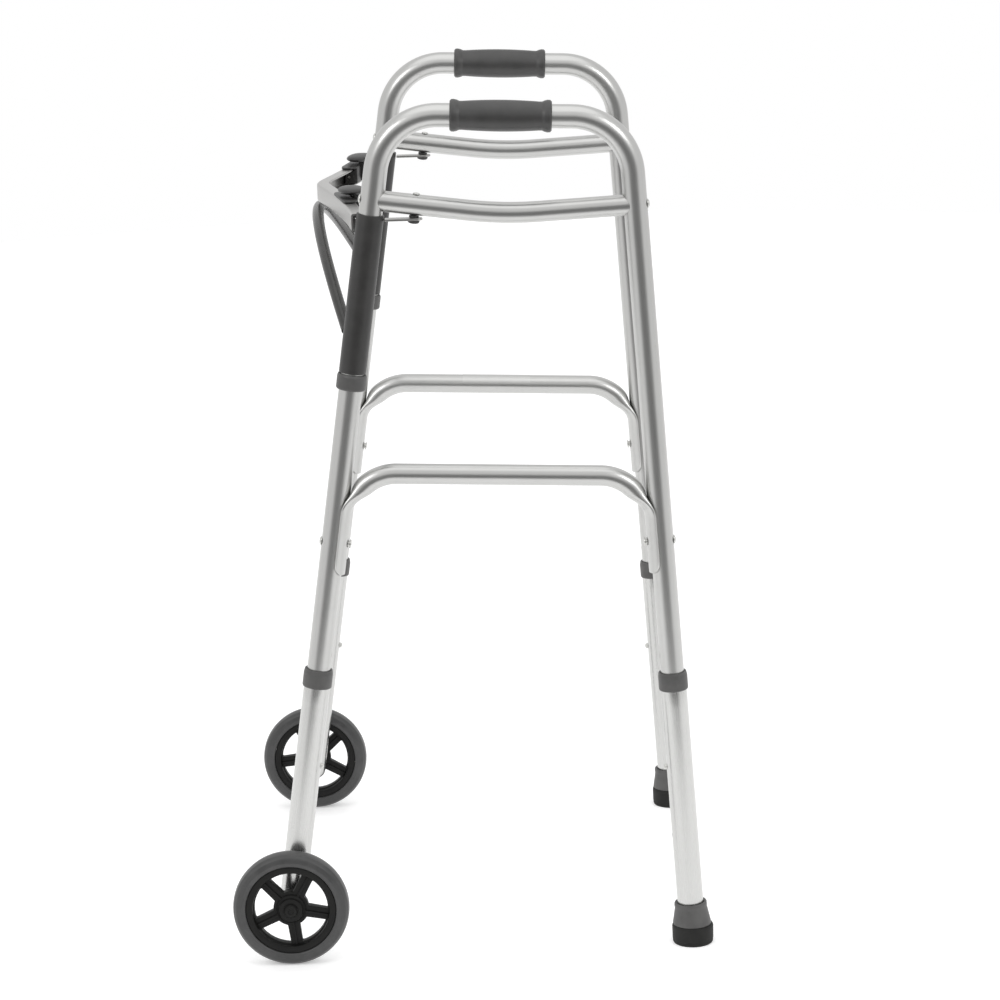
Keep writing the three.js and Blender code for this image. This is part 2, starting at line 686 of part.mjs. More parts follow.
function tipBody(x) {
  // flexible upper of the foot: its top is square to the leg, its underside is level
  const n = 16;
  const loop = (centre, e1, e2, r) => {
    const ring = [];
    for (let j = 0; j < n; j += 1) {
      const a = ((j + 0.5) * 2 * Math.PI) / n;
      ring.push(centre.clone().addScaledVector(e1, r * Math.cos(a)).addScaledVector(e2, r * Math.sin(a)));
    }
    return ring;
  };
  const levelY = at(0, 1, 0);
  const squareY = at(0, 1, REAR_SLOPE).normalize();
  const outer = [
    loop(rearPoint(x, 21.6), AXIS_X, levelY, 21.2),
    loop(rearPoint(x, 24), AXIS_X, levelY, 20.8),
    loop(rearPoint(x, 36), AXIS_X, squareY, 18.3),
    loop(rearPoint(x, 46.6), AXIS_X, squareY, 17.1),
  ];
  const bore = EXTENSION_R + 0.6;
  const inner = [
    loop(rearPoint(x, 21.6), AXIS_X, levelY, bore),
    loop(rearPoint(x, 24), AXIS_X, levelY, bore),
    loop(rearPoint(x, 36), AXIS_X, squareY, bore),
    loop(rearPoint(x, 46.6), AXIS_X, squareY, bore),
  ];
  return skin(outer, inner);
}

function tipBase(x) {
  const centre = rearPoint(x, 10);
  centre.z = 0;
  return turned([
    [0, 0], [21.2, 0], [22.2, 1.4], [22.8, 19.6], [21.8, 21.2], [0, 21.2],
  ], centre, at(0, 0, 1), 16);
}

// ---- wheels -------------------------------------------------------------------------------
const SPACER_AT = EXTENSION_R + GAP;
const SPACER_T = 2.5;
const HUB_HALF = 12;
const WHEEL_AT = SPACER_AT + SPACER_T + GAP + HUB_HALF;
const RIM_R = 49.4;

function wheelHub(x, side, phase) {
  const centre = frontPoint(x, AXLE_Z).add(at(side * WHEEL_AT, 0, 0));
  const out = at(side, 0, 0);
  const opening = (k) => {
    const middle = phase + ((k + 0.5) * 2 * Math.PI) / 5;
    // half angle of the opening at this radius, with half a spoke left either side
    const corner = (radius, half) => Math.PI / 5 - Math.asin(half / radius);
    const loop = [];
    const outerR = 41;
    const innerR = 18;
    const a1 = corner(outerR, 5.6) - 0.09;
    const a2 = corner(innerR, 6);
    for (let i = 0; i <= 4; i += 1) {
      const a = middle - a1 + (2 * a1 * i) / 4;
      loop.push([outerR * Math.cos(a), outerR * Math.sin(a)]);
    }
    const b = corner(outerR - 4, 5.6);
    loop.push([(outerR - 4) * Math.cos(middle + b), (outerR - 4) * Math.sin(middle + b)]);
    loop.push([innerR * Math.cos(middle + a2), innerR * Math.sin(middle + a2)]);
    loop.push([innerR * Math.cos(middle - a2), innerR * Math.sin(middle - a2)]);
    loop.push([(outerR - 4) * Math.cos(middle - b), (outerR - 4) * Math.sin(middle - b)]);
    return loop;
  };
  const disc = new THREE.Shape(Array.from({ length: WHEEL_FACETS }, (_, j) => {
    const a = (j * 2 * Math.PI) / WHEEL_FACETS;
    return new THREE.Vector2(45 * Math.cos(a), 45 * Math.sin(a));
  }));
  for (let k = 0; k < 5; k += 1) {
    disc.holes.push(new THREE.Path(opening(k).map(([u, v]) => new THREE.Vector2(u, v))));
  }
  const web = new THREE.ExtrudeGeometry(disc, { depth: 10, bevelEnabled: false, steps: 1 });
  web.translate(0, 0, -5);
  // outline axes: x rearwards, y up, z along +X
  web.applyMatrix4(new THREE.Matrix4().makeBasis(at(0, 1, 0), at(0, 0, 1), at(1, 0, 0)));
  web.translate(centre.x, centre.y, centre.z);
  const rim = turned([
    [42.6, -10], [RIM_R, -10], [RIM_R, 10], [42.6, 10], [41.6, 6], [41.6, -6],
  ], centre, out, WHEEL_FACETS);
  const boss = turned([
    [0, -HUB_HALF], [11, -HUB_HALF], [15.5, -6], [15.5, 7], [13.6, HUB_HALF], [0, HUB_HALF],
  ], centre, out, FACETS);
  const bore = rod(centre.clone().addScaledVector(out, -20), centre.clone().addScaledVector(out, 20), 4.6, FACETS);
  return cut(join([tidy(web), rim, boss]), [bore]);
}

function tyre(x, side) {
  const centre = frontPoint(x, AXLE_Z).add(at(side * WHEEL_AT, 0, 0));
  const bore = RIM_R + 0.45;
  return turned([
    [bore, -10.5], [bore + 1.2, -12], [58.5, -12.6], [61.8, -9.6], [WHEEL_R, -4.6], [WHEEL_R, 4.6],
    [61.8, 9.6], [58.5, 12.6], [bore + 1.2, 12], [bore, 10.5],
  ], centre, at(1, 0, 0), WHEEL_FACETS);
}

function wheelSpacer(x, side) {
  const from = frontPoint(x, AXLE_Z).add(at(side * SPACER_AT, 0, 0));
  return turned([[4.6, 0], [9, 0], [9, SPACER_T], [4.6, SPACER_T]], from, at(side, 0, 0), FACETS);
}

function axleBolt(x, side) {
  const head = frontPoint(x, AXLE_Z).add(at(side * (WHEEL_AT + HUB_HALF + GAP), 0, 0));
  // the plain inner end stands just proud of the leg
  const stem = WHEEL_AT + HUB_HALF + GAP + EXTENSION_R + 0.9;
  return turned([
    [0, -4.6], [5, -4], [7.6, -1.6], [7.6, 0], [4, 0], [4, stem - 1], [3, stem], [0, stem],
  ], head, at(-side, 0, 0), 12);
}

// ---- assembly -----------------------------------------------------------------------------
const SIDES = [
  { word: 'left', sign: 1, phase: (-11 * Math.PI) / 180 },
  { word: 'right', sign: -1, phase: (-29.5 * Math.PI) / 180 },
];

SIDES.forEach(({ word, sign, phase }) => {
  const x = sign * HALF_SPAN;
  add(`side_frame_${word}`, sideFrame(x), ALUMINIUM);
  add(`upper_brace_${word}`, upperBrace(x), ALUMINIUM);
  add(`lower_brace_${word}`, lowerBrace(x), ALUMINIUM);
  add(`upper_rivet_front_${word}`, rivetRun(frontPoint(x, UPPER_BRACE_FRONT_Z), frontInward, 8, false), STEEL);
  add(`upper_rivet_rear_${word}`, rivetRun(rearPoint(x, UPPER_BRACE_REAR_Z), rearInward, 8, false), STEEL);
  add(`lower_rivet_front_${word}`, rivetRun(frontPoint(x, LOWER_RIVET_FRONT_Z), frontInward, 5.4, true), STEEL);
  add(`lower_rivet_rear_${word}`, rivetRun(rearPoint(x, LOWER_RIVET_REAR_Z), rearInward, 5.4, true), STEEL);
  add(`hand_grip_${word}`, grip(x), GRIP_RUBBER);
  add(`latch_bar_${word}`, latchBar(x), BRIGHT);
  add(`latch_bolt_${word}`, latchBolt(x), DARK_PLASTIC);
  add(`hinge_sleeve_${word}`, sleeve(x), DARK_PLASTIC);
  add(`hinge_collar_${word}`, hingeCollar(x), DARK_PLASTIC);
  add(`paddle_housing_${word}`, paddleHousing(sign), DARK_PLASTIC);
  add(`paddle_pin_${word}`, paddlePin(sign), STEEL);
  add(`release_paddle_${word}`, releasePaddle(sign), DARK_PLASTIC);
  add(`front_leg_extension_${word}`, frontExtension(x), ALUMINIUM);
  add(`rear_leg_extension_${word}`, rearExtension(x), ALUMINIUM);
  add(`front_leg_collar_${word}`, legCollar(frontPoint(x, FRONT_EXTENSION_TOP_Z), frontAxis), GREY_PLASTIC);
  add(`rear_leg_collar_${word}`, legCollar(rearPoint(x, REAR_EXTENSION_TOP_Z), rearAxis), GREY_PLASTIC);
  add(`front_snap_button_${word}`, snapButton(frontPoint(x, FRONT_BUTTON_Z), frontInward), STEEL);
  add(`rear_snap_button_${word}`, snapButton(rearPoint(x, REAR_BUTTON_Z), rearInward), STEEL);
  add(`rear_tip_${word}`, tipBody(x), GREY_PLASTIC);
  add(`rear_tip_base_${word}`, tipBase(x), BASE_RUBBER);
  add(`wheel_hub_${word}`, wheelHub(x, sign, phase), RIM_PLASTIC);
  add(`tyre_${word}`, tyre(x, sign), TYRE_RUBBER);
  add(`wheel_spacer_${word}`, wheelSpacer(x, sign), DARK_PLASTIC);
  add(`axle_bolt_${word}`, axleBolt(x, sign), DARK_PLASTIC);
});
add('front_bow', frontBow(), BRIGHT);
add('front_arch', frontArch(), GREY_PAINT);

export default model;
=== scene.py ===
import json
import math

import bmesh
import bpy
from mathutils import Matrix, Vector


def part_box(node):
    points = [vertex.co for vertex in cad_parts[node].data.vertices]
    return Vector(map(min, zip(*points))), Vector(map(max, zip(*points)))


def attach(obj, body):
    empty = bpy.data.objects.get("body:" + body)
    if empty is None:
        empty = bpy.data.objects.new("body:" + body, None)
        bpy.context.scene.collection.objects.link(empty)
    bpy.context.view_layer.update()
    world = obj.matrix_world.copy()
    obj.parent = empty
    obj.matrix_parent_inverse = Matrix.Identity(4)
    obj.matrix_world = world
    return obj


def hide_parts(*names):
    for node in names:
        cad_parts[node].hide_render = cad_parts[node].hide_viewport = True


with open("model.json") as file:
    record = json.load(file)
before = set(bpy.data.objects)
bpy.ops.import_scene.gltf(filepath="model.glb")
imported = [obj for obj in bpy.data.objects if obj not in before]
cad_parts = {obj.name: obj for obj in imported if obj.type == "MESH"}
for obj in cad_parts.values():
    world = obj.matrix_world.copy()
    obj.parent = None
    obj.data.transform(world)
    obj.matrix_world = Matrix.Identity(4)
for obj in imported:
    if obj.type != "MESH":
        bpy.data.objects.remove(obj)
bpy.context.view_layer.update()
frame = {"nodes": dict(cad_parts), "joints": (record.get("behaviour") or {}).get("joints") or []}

MM = 0.001
TURN = 2 * math.pi
JOINTS = {j["name"]: j for j in frame["joints"]}
SIDES = (("left", 1.0), ("right", -1.0))

# ---- dimensions in millimetres --------------------------------------------------------------
TUBE_R, TUBE_BORE = 12.7, 11.3            # side frame tube
BRACE_R, BRACE_BORE = 11.1, 9.9           # both side braces
EXT_R, EXT_BORE = 14.3, 13.0              # leg extensions
SLEEVE_R, SLEEVE_BORE = 14.6, 13.0        # hinge sleeves
COLLAR_R = 15.95
TUBE_FEET = {"front": 177, "rear": 163}   # heights where the tube ends in its leg extensions
HANDLE_BEND = 65.0
FALL = 0.04                               # how fast the grips fall towards the user
HOLE_PITCH, HOLE_R, BUTTON_HOLE_R = 25.4, 3.6, 3.75
UPPER_BEND, DIP_BACK = 420.0, 153.0       # gentle dip of the upper brace, lowest this far behind the leg
HINGE_Z = 735.0                           # about the middle of the hinge sleeves
LOWER_BEND = 50.0
FLAT_TURN = math.radians(46)              # bend over which the brace grows round again
TAB_WRAP = math.radians(72)
TAB_MID = TUBE_R + 0.5 + 1.6              # middle of the pressed tab's wall, from the leg axis
TAB_BELOW_RIVET = 33.5
WHEEL_R, TYRE_HALF = 63.5, 12.5
SPOKES = 5
BOW_SLOPE, BOW_NOSE_R, BOW_EASE = 0.3205, 18.0, 0.00042
BOW_HALF_HEIGHT, BOW_WALL, BOW_DEPTH = 10.0, 2.0, 14.0
BOW_HALF_LENGTH = 240
ARCH_R, ARCH_BORE, ARCH_INSET = 6.35, 4.9, 6.2
ARCH_HALF_LENGTH, ARCH_SPREAD, ARCH_LEAN, ARCH_END_Z = 236, 580, 0.39, 705
PADDLE_X, PIN_BACK, PIN_R, PIN_BORE = 131.0, 7.5, 1.9, 2.3


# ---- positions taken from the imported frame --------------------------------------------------
def mm(v):
    return Vector(v) / MM


def box_mm(node):
    lo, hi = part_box(node)
    return mm(lo), mm(hi)


def box_centre(node):
    lo, hi = box_mm(node)
    return (lo + hi) / 2


HALF = mm(JOINTS["fold_left"]["pos_m"]).x
FRONT_AXIS = Vector(JOINTS["front_height_left"]["axis"]).normalized()
REAR_AXIS = Vector(JOINTS["rear_height_left"]["axis"]).normalized()
FRONT_IN = Vector((0, FRONT_AXIS.z, -FRONT_AXIS.y))
REAR_IN = Vector((0, -REAR_AXIS.z, REAR_AXIS.y))
X, Y, Z = Vector((1, 0, 0)), Vector((0, 1, 0)), Vector((0, 0, 1))
FRONT_BASE = mm(JOINTS["fold_left"]["pos_m"])
REAR_BASE = box_centre("rear_tip_base_left")
REAR_BASE.z = 10.0


def front_at(x, z):
    p = FRONT_BASE + FRONT_AXIS * ((z - FRONT_BASE.z) / FRONT_AXIS.z)
    return Vector((x, p.y, z))


def rear_at(x, z):
    p = REAR_BASE + REAR_AXIS * ((z - REAR_BASE.z) / REAR_AXIS.z)
    return Vector((x, p.y, z))


LEGS = {"front": (FRONT_AXIS, FRONT_IN, front_at), "rear": (REAR_AXIS, REAR_IN, rear_at)}


def on_leg(end, node):
    """Centre of a CAD node, moved square onto the axis of its front or rear leg."""
    axis, _, at = LEGS[end]
    c = box_centre(node)
    base = at(c.x, 500)
    return base + axis * (c - base).dot(axis)


def run_of(node, axis, through):
    """Where a CAD node starts on an axis line, and its length along it."""
    along = [(mm(v.co) - through).dot(axis) for v in frame["nodes"][node].data.vertices]
    return through + axis * min(along), max(along) - min(along)


# ---- mesh making ----------------------------------------------------------------------------
def build(name, verts, faces, uvs, material, sharp=32.0):
    """Mesh object from millimetre points; uvs holds one (u, v) pair in metres per face corner."""
    mesh = bpy.data.meshes.new(name)
    mesh.from_pydata([v * MM for v in verts], [], faces)
    layer = mesh.uv_layers.new(name="UVMap")
    flat = [c for pair in uvs for c in pair]
    layer.data.foreach_set("uv", flat)
    bm = bmesh.new()
    bm.from_mesh(mesh)
    bmesh.ops.remove_doubles(bm, verts=bm.verts, dist=1e-7)
    bmesh.ops.recalc_face_normals(bm, faces=bm.faces)
    bm.to_mesh(mesh)
    bm.free()
    mesh.shade_smooth()
    mesh.set_sharp_from_angle(angle=math.radians(sharp))
    mesh.materials.append(material)
    obj = bpy.data.objects.new(name, mesh)
    bpy.context.scene.collection.objects.link(obj)
    return obj


def skin(rings, close=False, caps=False):
    """Faces and uvs over equal rings of points. close joins last ring to first, caps fill the ends."""
    n, m = len(rings[0]), len(rings)
    verts = [p for ring in rings for p in ring]
    around = [0.0]
    for j in range(n):
        around.append(around[-1] + (rings[0][(j + 1) % n] - rings[0][j]).length * MM)
    along = [0.0]
    samples = range(0, n, max(1, n // 8))
    for i in range(m):
        a, b = rings[i], rings[(i + 1) % m]
        step = sum((b[j] - a[j]).length for j in samples)
        along.append(along[-1] + step / len(samples) * MM)
    faces, uvs = [], []
    for i in range(m if close else m - 1):
        k = (i + 1) % m
        for j in range(n):
            q = (j + 1) % n
            faces.append((i * n + j, i * n + q, k * n + q, k * n + j))
            uvs += [(around[j], along[i]), (around[j + 1], along[i]),
                    (around[j + 1], along[i + 1]), (around[j], along[i + 1])]
    if caps:
        for i in (0, m - 1):
            faces.append(tuple(i * n + j for j in range(n)))
            c = sum(rings[i], Vector()) / n
            uvs += [((p - c).dot(Vector((0.6, 0.8, 0))) * MM, (p - c).z * MM) for p in rings[i]]
    return verts, faces, uvs


def fillet(points, steps=5):
    """Closed outline of (r, h, radius) corners turned into a smooth outline of (r, h)."""
    out = []
    n = len(points)
    for i, (r, h, rad) in enumerate(points):
        p = Vector((r, h))
        a = (Vector(points[i - 1][:2]) - p)
        b = (Vector(points[(i + 1) % n][:2]) - p)
        if rad <= 0 or a.length < 1e-6 or b.length < 1e-6:
            out.append(p)
            continue
        la, lb = a.length, b.length
        a.normalize()
        b.normalize()
        half = math.acos(max(-1.0, min(1.0, a.dot(b)))) / 2
        if half > math.pi / 2 - 0.02:
            out.append(p)
            continue
        cut = min(rad / math.tan(half), la * 0.49, lb * 0.49)
        rad = cut * math.tan(half)
        centre = p + (a + b).normalized() * (rad / math.sin(half))
        s, e = p + a * cut - centre, p + b * cut - centre
        turn = s.angle_signed(e)
        for k in range(steps + 1):
            t = -turn * k / steps
            out.append(centre + Vector((s.x * math.cos(t) - s.y * math.sin(t),
                                        s.x * math.sin(t) + s.y * math.cos(t))))
    return out


def basis_of(axis):
    axis = axis.normalized()
    e1 = X if abs(axis.x) < 0.9 else Y
    e1 = (e1 - axis * e1.dot(axis)).normalized()
    return e1, axis.cross(e1)


def turned(name, outline, origin, axis, material, n=72, steps=5, sharp=32.0):
    """Lathe of a closed (r, h[, fillet]) outline about an axis, h measured from origin."""
    pts = [p if len(p) == 3 else (p[0], p[1], 0) for p in outline]
    loop = fillet(pts, steps)
    e1, e2 = basis_of(axis)
    rings = []
    for p in loop:
        ring = []
        for j in range(n):
            a = TURN * j / n
            ring.append(origin + axis * p.y + e1 * (p.x * math.cos(a)) + e2 * (p.x * math.sin(a)))
        rings.append(ring)
    verts, faces, uvs = skin(rings, close=True)
    widest = max(p.x for p in loop)
    # u runs round an arc of the widest radius; faces collapsed on the axis are dropped
    keep_f, keep_u = [], []
    for k, f in enumerate(faces):
        co = [verts[i] for i in f]
        if (co[0] - co[2]).length > 1e-6 and (co[1] - co[3]).length > 1e-6:
            j = k % n
            u0, u1 = (TURN * widest * MM * q / n for q in (j, j + 1))
            v0, v1 = uvs[4 * k][1], uvs[4 * k + 2][1]
            keep_f.append(f)
            keep_u += [(u0, v0), (u1, v0), (u1, v1), (u0, v1)]
    return build(name, verts, keep_f, keep_u, material, sharp)


def tangents_of(path):
    out = []
    for i, p in enumerate(path):
        t = Vector()
        if i > 0:
            t += (p - path[i - 1]).normalized()
        if i < len(path) - 1:
            t += (path[i + 1] - p).normalized()
        out.append(t.normalized())
    return out


def rounded_path(corners, radius, steps):
    path = [corners[0].copy()]
    for i in range(1, len(corners) - 1):
        before = (corners[i - 1] - corners[i]).normalized()
        after = (corners[i + 1] - corners[i]).normalized()
        half = math.acos(before.dot(after)) / 2
        cut = radius / math.tan(half)
        centre = corners[i] + (before + after).normalized() * (radius / math.sin(half))
        a = corners[i] + before * cut - centre
        b = corners[i] + after * cut - centre
        normal = a.cross(b).normalized()
        turn = math.pi - 2 * half
        for s in range(steps + 1):
            path.append(Matrix.Rotation(turn * s / steps, 3, normal) @ a + centre)
    path.append(corners[-1].copy())
    return path


def subdivided(path, longest):
    """The same polyline with no step longer than the given one."""
    out = [path[0]]
    for a, b in zip(path, path[1:]):
        k = max(1, int(math.ceil((b - a).length / longest)))
        out += [a.lerp(b, s / k) for s in range(1, k + 1)]
    return out


def circle(radius, n):
    angles = [TURN * j / n for j in range(n)]
    return [(radius * math.cos(a), radius * math.sin(a)) for a in angles]


def sweep_rings(path, side, section):
    tangents = tangents_of(path)
    rings = []
    for p, t in zip(path, tangents):
        across = t.cross(side).normalized()
        rings.append([p + side * a + across * b for a, b in section])
    return rings


def tube(name, path, side, outer, inner, material, n=56, lip=0.35):
    """Open-ended tube: outer wall, a small rounded lip and the inner wall at each end."""
    out_rings = sweep_rings(path, side, circle(outer, n))
    in_rings = sweep_rings(path, side, circle(inner, n))
    lead = (path[1] - path[0]).normalized() * lip
    tail = (path[-1] - path[-2]).normalized() * lip
    small = [(a * (outer - lip) / outer, b * (outer - lip) / outer) for a, b in circle(outer, n)]
    cap_rings = sweep_rings(path, side, small)
    first = [[p + lead for p in out_rings[0]]]
    last = [[p - tail for p in out_rings[-1]]]
    rings = [cap_rings[0]] + first + out_rings[1:-1] + last + [cap_rings[-1]] + in_rings[::-1]
    verts, faces, uvs = skin(rings, close=True)
    return build(name, verts, faces, uvs, material)


def bake_modifiers(obj):
    """Replaces an object's mesh by what its modifiers make of it, shaded smooth."""
    dg = bpy.context.evaluated_depsgraph_get()
    dg.update()
    new = bpy.data.meshes.new_from_object(obj.evaluated_get(dg))
    obj.modifiers.clear()
    obj.data = new
    new.shade_smooth()
    return new


def carve(obj, cutters):
    """Boolean difference with throw-away cutter objects, applied to the mesh."""
    for cutter in cutters:
        m = obj.modifiers.new("cut", "BOOLEAN")
        m.operation = "DIFFERENCE"
        m.solver = "EXACT"
        m.object = cutter
    bake_modifiers(obj).set_sharp_from_angle(angle=math.radians(32))
    for cutter in cutters:
        bpy.data.objects.remove(cutter)


def drill(start, end, radius, n=32):
    length = (end - start).length
    return turned("cutter", [(0, 0), (radius, 0), (radius, length), (0, length)], start,
                  (end - start).normalized(), MATERIALS["steel"], n=n)


def place(obj, body, node):
    """Ties a piece to its body and hides the CAD node it stands for."""
    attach(obj, body)
    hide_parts(node)


# ---- materials ------------------------------------------------------------------------------
def shader(name):
    m = bpy.data.materials.new(name)
    m.use_nodes = True
    nt = m.node_tree
    return m, nt, nt.nodes["Principled BSDF"]


def maths(nt, operation, a, b):
    n = nt.nodes.new("ShaderNodeMath")
    n.operation = operation
    for k, source in enumerate((a, b)):
        if isinstance(source, float):
            n.inputs[k].default_value = source
        else:
            nt.links.new(source, n.inputs[k])
    return n.outputs[0]


def mapped(nt, coords, scale):
    tc = nt.nodes.new("ShaderNodeTexCoord")
    mp = nt.nodes.new("ShaderNodeMapping")
    mp.inputs["Scale"].default_value = scale
    nt.links.new(tc.outputs[coords], mp.inputs["Vector"])
    return mp.outputs["Vector"]


def noise(nt, vector, scale, detail=3.0, rough=0.5):
    n = nt.nodes.new("ShaderNodeTexNoise")
    n.inputs["Scale"].default_value = scale
    n.inputs["Detail"].default_value = detail
    n.inputs["Roughness"].default_value = rough
    nt.links.new(vector, n.inputs["Vector"])
    return n.outputs["Fac"]


def ramp(nt, fac, stops):
    r = nt.nodes.new("ShaderNodeValToRGB")
    els = r.color_ramp.elements
    while len(els) < len(stops):
        els.new(0.5)
    for e, (at, value) in zip(els, stops):
        e.position = at
        e.color = (*value, 1.0) if hasattr(value, "__len__") else (value, value, value, 1.0)
    nt.links.new(fac, r.inputs["Fac"])
    return r.outputs["Color"]


def remap(nt, fac, lo, hi):
    r = nt.nodes.new("ShaderNodeMapRange")
    r.inputs["To Min"].default_value = lo
    r.inputs["To Max"].default_value = hi
    nt.links.new(fac, r.inputs["Value"])
    return r.outputs["Result"]


def bump(nt, bsdf, height, strength, distance):
    b = nt.nodes.new("ShaderNodeBump")
    b.inputs["Strength"].default_value = strength
    b.inputs["Distance"].default_value = distance
    nt.links.new(height, b.inputs["Height"])
    nt.links.new(b.outputs["Normal"], bsdf.inputs["Normal"])


def drawn_metal(name, low, high, rough, grain=0.25):
    """Satin anodised drawn tube: fine lines along the tube, faint cloudiness, a few long scuffs."""
    m, nt, bsdf = shader(name)
    bsdf.inputs["Metallic"].default_value = 1.0
    lines = noise(nt, mapped(nt, "UV", (5200, 34, 1)), 1.0, 4.0, 0.62)
    clouds = noise(nt, mapped(nt, "Object", (1, 1, 1)), 26.0, 4.0, 0.6)
    scuffs = noise(nt, mapped(nt, "UV", (700, 3.2, 1)), 1.0, 5.0, 0.7)
    shade = maths(nt, "ADD", remap(nt, lines, -0.35 * grain, 0.35 * grain), remap(nt, clouds, -0.14, 0.14))
    shade = maths(nt, "ADD", shade, remap(nt, scuffs, -0.07, 0.07))
    shade = maths(nt, "ADD", shade, 0.5)
    nt.links.new(ramp(nt, shade, [(0.3, low), (0.7, high)]), bsdf.inputs["Base Color"])
    dullness = maths(nt, "ADD", remap(nt, lines, rough - 0.05, rough + 0.05), remap(nt, scuffs, -0.05, 0.05))
    nt.links.new(dullness, bsdf.inputs["Roughness"])
    bump(nt, bsdf, lines, 0.16, 0.00006)
    return m


def moulded(name, dark, light, rough, grain_scale=1500.0, grain=0.25, depth=0.00006, spec=0.5):
    """Moulded plastic or rubber: fine moulding grain, cloudy colour, roughness that wanders."""
    m, nt, bsdf = shader(name)
    bsdf.inputs["Specular IOR Level"].default_value = spec
    vec = mapped(nt, "Object", (1, 1, 1))
    fine = noise(nt, vec, grain_scale, 2.0, 0.6)
    broad = noise(nt, vec, 48.0, 4.0, 0.6)
    nt.links.new(ramp(nt, broad, [(0.3, dark), (0.72, light)]), bsdf.inputs["Base Color"])
    nt.links.new(remap(nt, broad, rough - 0.07, rough + 0.07), bsdf.inputs["Roughness"])
    bump(nt, bsdf, fine, grain, depth)
    return m


def plated(name, low, high, rough):
    m, nt, bsdf = shader(name)
    bsdf.inputs["Metallic"].default_value = 1.0
    vec = mapped(nt, "Object", (1, 1, 1))
    fine = noise(nt, vec, 900.0, 3.0, 0.6)
    broad = noise(nt, vec, 120.0, 3.0, 0.6)
    nt.links.new(ramp(nt, broad, [(0.3, low), (0.7, high)]), bsdf.inputs["Base Color"])
    nt.links.new(remap(nt, fine, rough - 0.06, rough + 0.08), bsdf.inputs["Roughness"])
    bump(nt, bsdf, fine, 0.12, 0.00003)
    return m


MATERIALS = {
    "tube": drawn_metal("satin_tube", (0.55, 0.55, 0.54), (0.49, 0.49, 0.48), 0.30),
    "extension": drawn_metal("satin_extension", (0.59, 0.59, 0.58), (0.53, 0.53, 0.52), 0.27),
    "strip": drawn_metal("satin_strip", (0.44, 0.435, 0.425), (0.39, 0.385, 0.375), 0.30),
    "arch": moulded("dark_paint", (0.022, 0.0215, 0.0205), (0.038, 0.037, 0.035),
                    0.26, 700.0, 0.12, 0.00004, 0.5),
    "sleeve": moulded("sleeve_nylon", (0.018, 0.0175, 0.017), (0.030, 0.029, 0.028),
                      0.42, 1600.0, 0.3, 0.00005),
    "collar": moulded("collar_plastic", (0.062, 0.061, 0.060), (0.092, 0.091, 0.089),
                      0.48, 1500.0, 0.3, 0.00005),
    "grip": moulded("grip_vinyl", (0.022, 0.0215, 0.021), (0.038, 0.037, 0.036),
                    0.44, 1100.0, 0.5, 0.00012, 0.75),
    "rim": moulded("rim_plastic", (0.004, 0.004, 0.004), (0.008, 0.008, 0.007),
                   0.50, 1500.0, 0.25, 0.00005, 0.22),
    "tyre": moulded("tyre_rubber", (0.036, 0.036, 0.036), (0.056, 0.056, 0.056),
                    0.38, 900.0, 0.3, 0.00006, 0.5),
    "tip": moulded("tip_rubber", (0.060, 0.059, 0.058), (0.092, 0.091, 0.089),
                   0.52, 1000.0, 0.35, 0.00008),
    "base": moulded("base_rubber", (0.008, 0.008, 0.0075), (0.016, 0.016, 0.015),
                    0.66, 900.0, 0.5, 0.0001, 0.3),
    "steel": plated("plated_steel", (0.50, 0.50, 0.48), (0.62, 0.62, 0.60), 0.30),
    "label": drawn_metal("label_film", (0.57, 0.57, 0.56), (0.54, 0.54, 0.53), 0.36),
}


# ---- side frames ----------------------------------------------------------------------------
def meet(point, axis, inward, offset, grip):
    """Where a leg line moved inwards meets the sloping line through a point of the given piece."""
    p = point + inward * offset
    s = (grip.z - FALL * (p.y - grip.y) - p.z) / (axis.z + FALL * axis.y)
    return p + axis * s


def side_frame(word, g):
    x = g * HALF
    grip = box_centre("hand_grip_" + word)
    heads = [meet(leg_at(x, 900), axis, inward, 0, grip) for axis, inward, leg_at in LEGS.values()]
    feet = [leg_at(x, TUBE_FEET[end]) for end, (_, _, leg_at) in LEGS.items()]
    path = rounded_path([feet[0], *heads, feet[1]], HANDLE_BEND, 20)
    path = subdivided(path, 26)
    obj = tube("side_tube_" + word, path, X, TUBE_R, TUBE_BORE, MATERIALS["tube"])
    cutters = []
    for end, (axis, inward, _) in LEGS.items():
        b = on_leg(end, f"{end}_snap_button_{word}")
        for k in range(-1, 6):
            c = b + axis * (k * HOLE_PITCH)
            cutters.append(drill(c + inward * 5, c + inward * 20, HOLE_R, 24))
    carve(obj, cutters)
    place(obj, "side_" + word, "side_frame_" + word)


def upper_brace(word, g):
    x = g * HALF
    a = on_leg("front", "upper_rivet_front_" + word)
    b = on_leg("rear", "upper_rivet_rear_" + word)
    lo, _ = box_mm("upper_brace_" + word)
    dip = Vector((x, front_at(x, HINGE_Z).y + DIP_BACK, lo.z + BRACE_R - 1.6))
    path = subdivided(rounded_path([a, dip, b], UPPER_BEND, 10), 20)
    obj = tube("upper_brace_tube_" + word, path, X, BRACE_R, BRACE_BORE, MATERIALS["tube"])
    carve(obj, [drill(p - axis * 40, p + axis * 40, TUBE_R + 0.15, 72)
                for p, axis in ((a, FRONT_AXIS), (b, REAR_AXIS))])
    keep_middle(obj, dip)
    place(obj, "side_" + word, "upper_brace_" + word)
    return a, dip


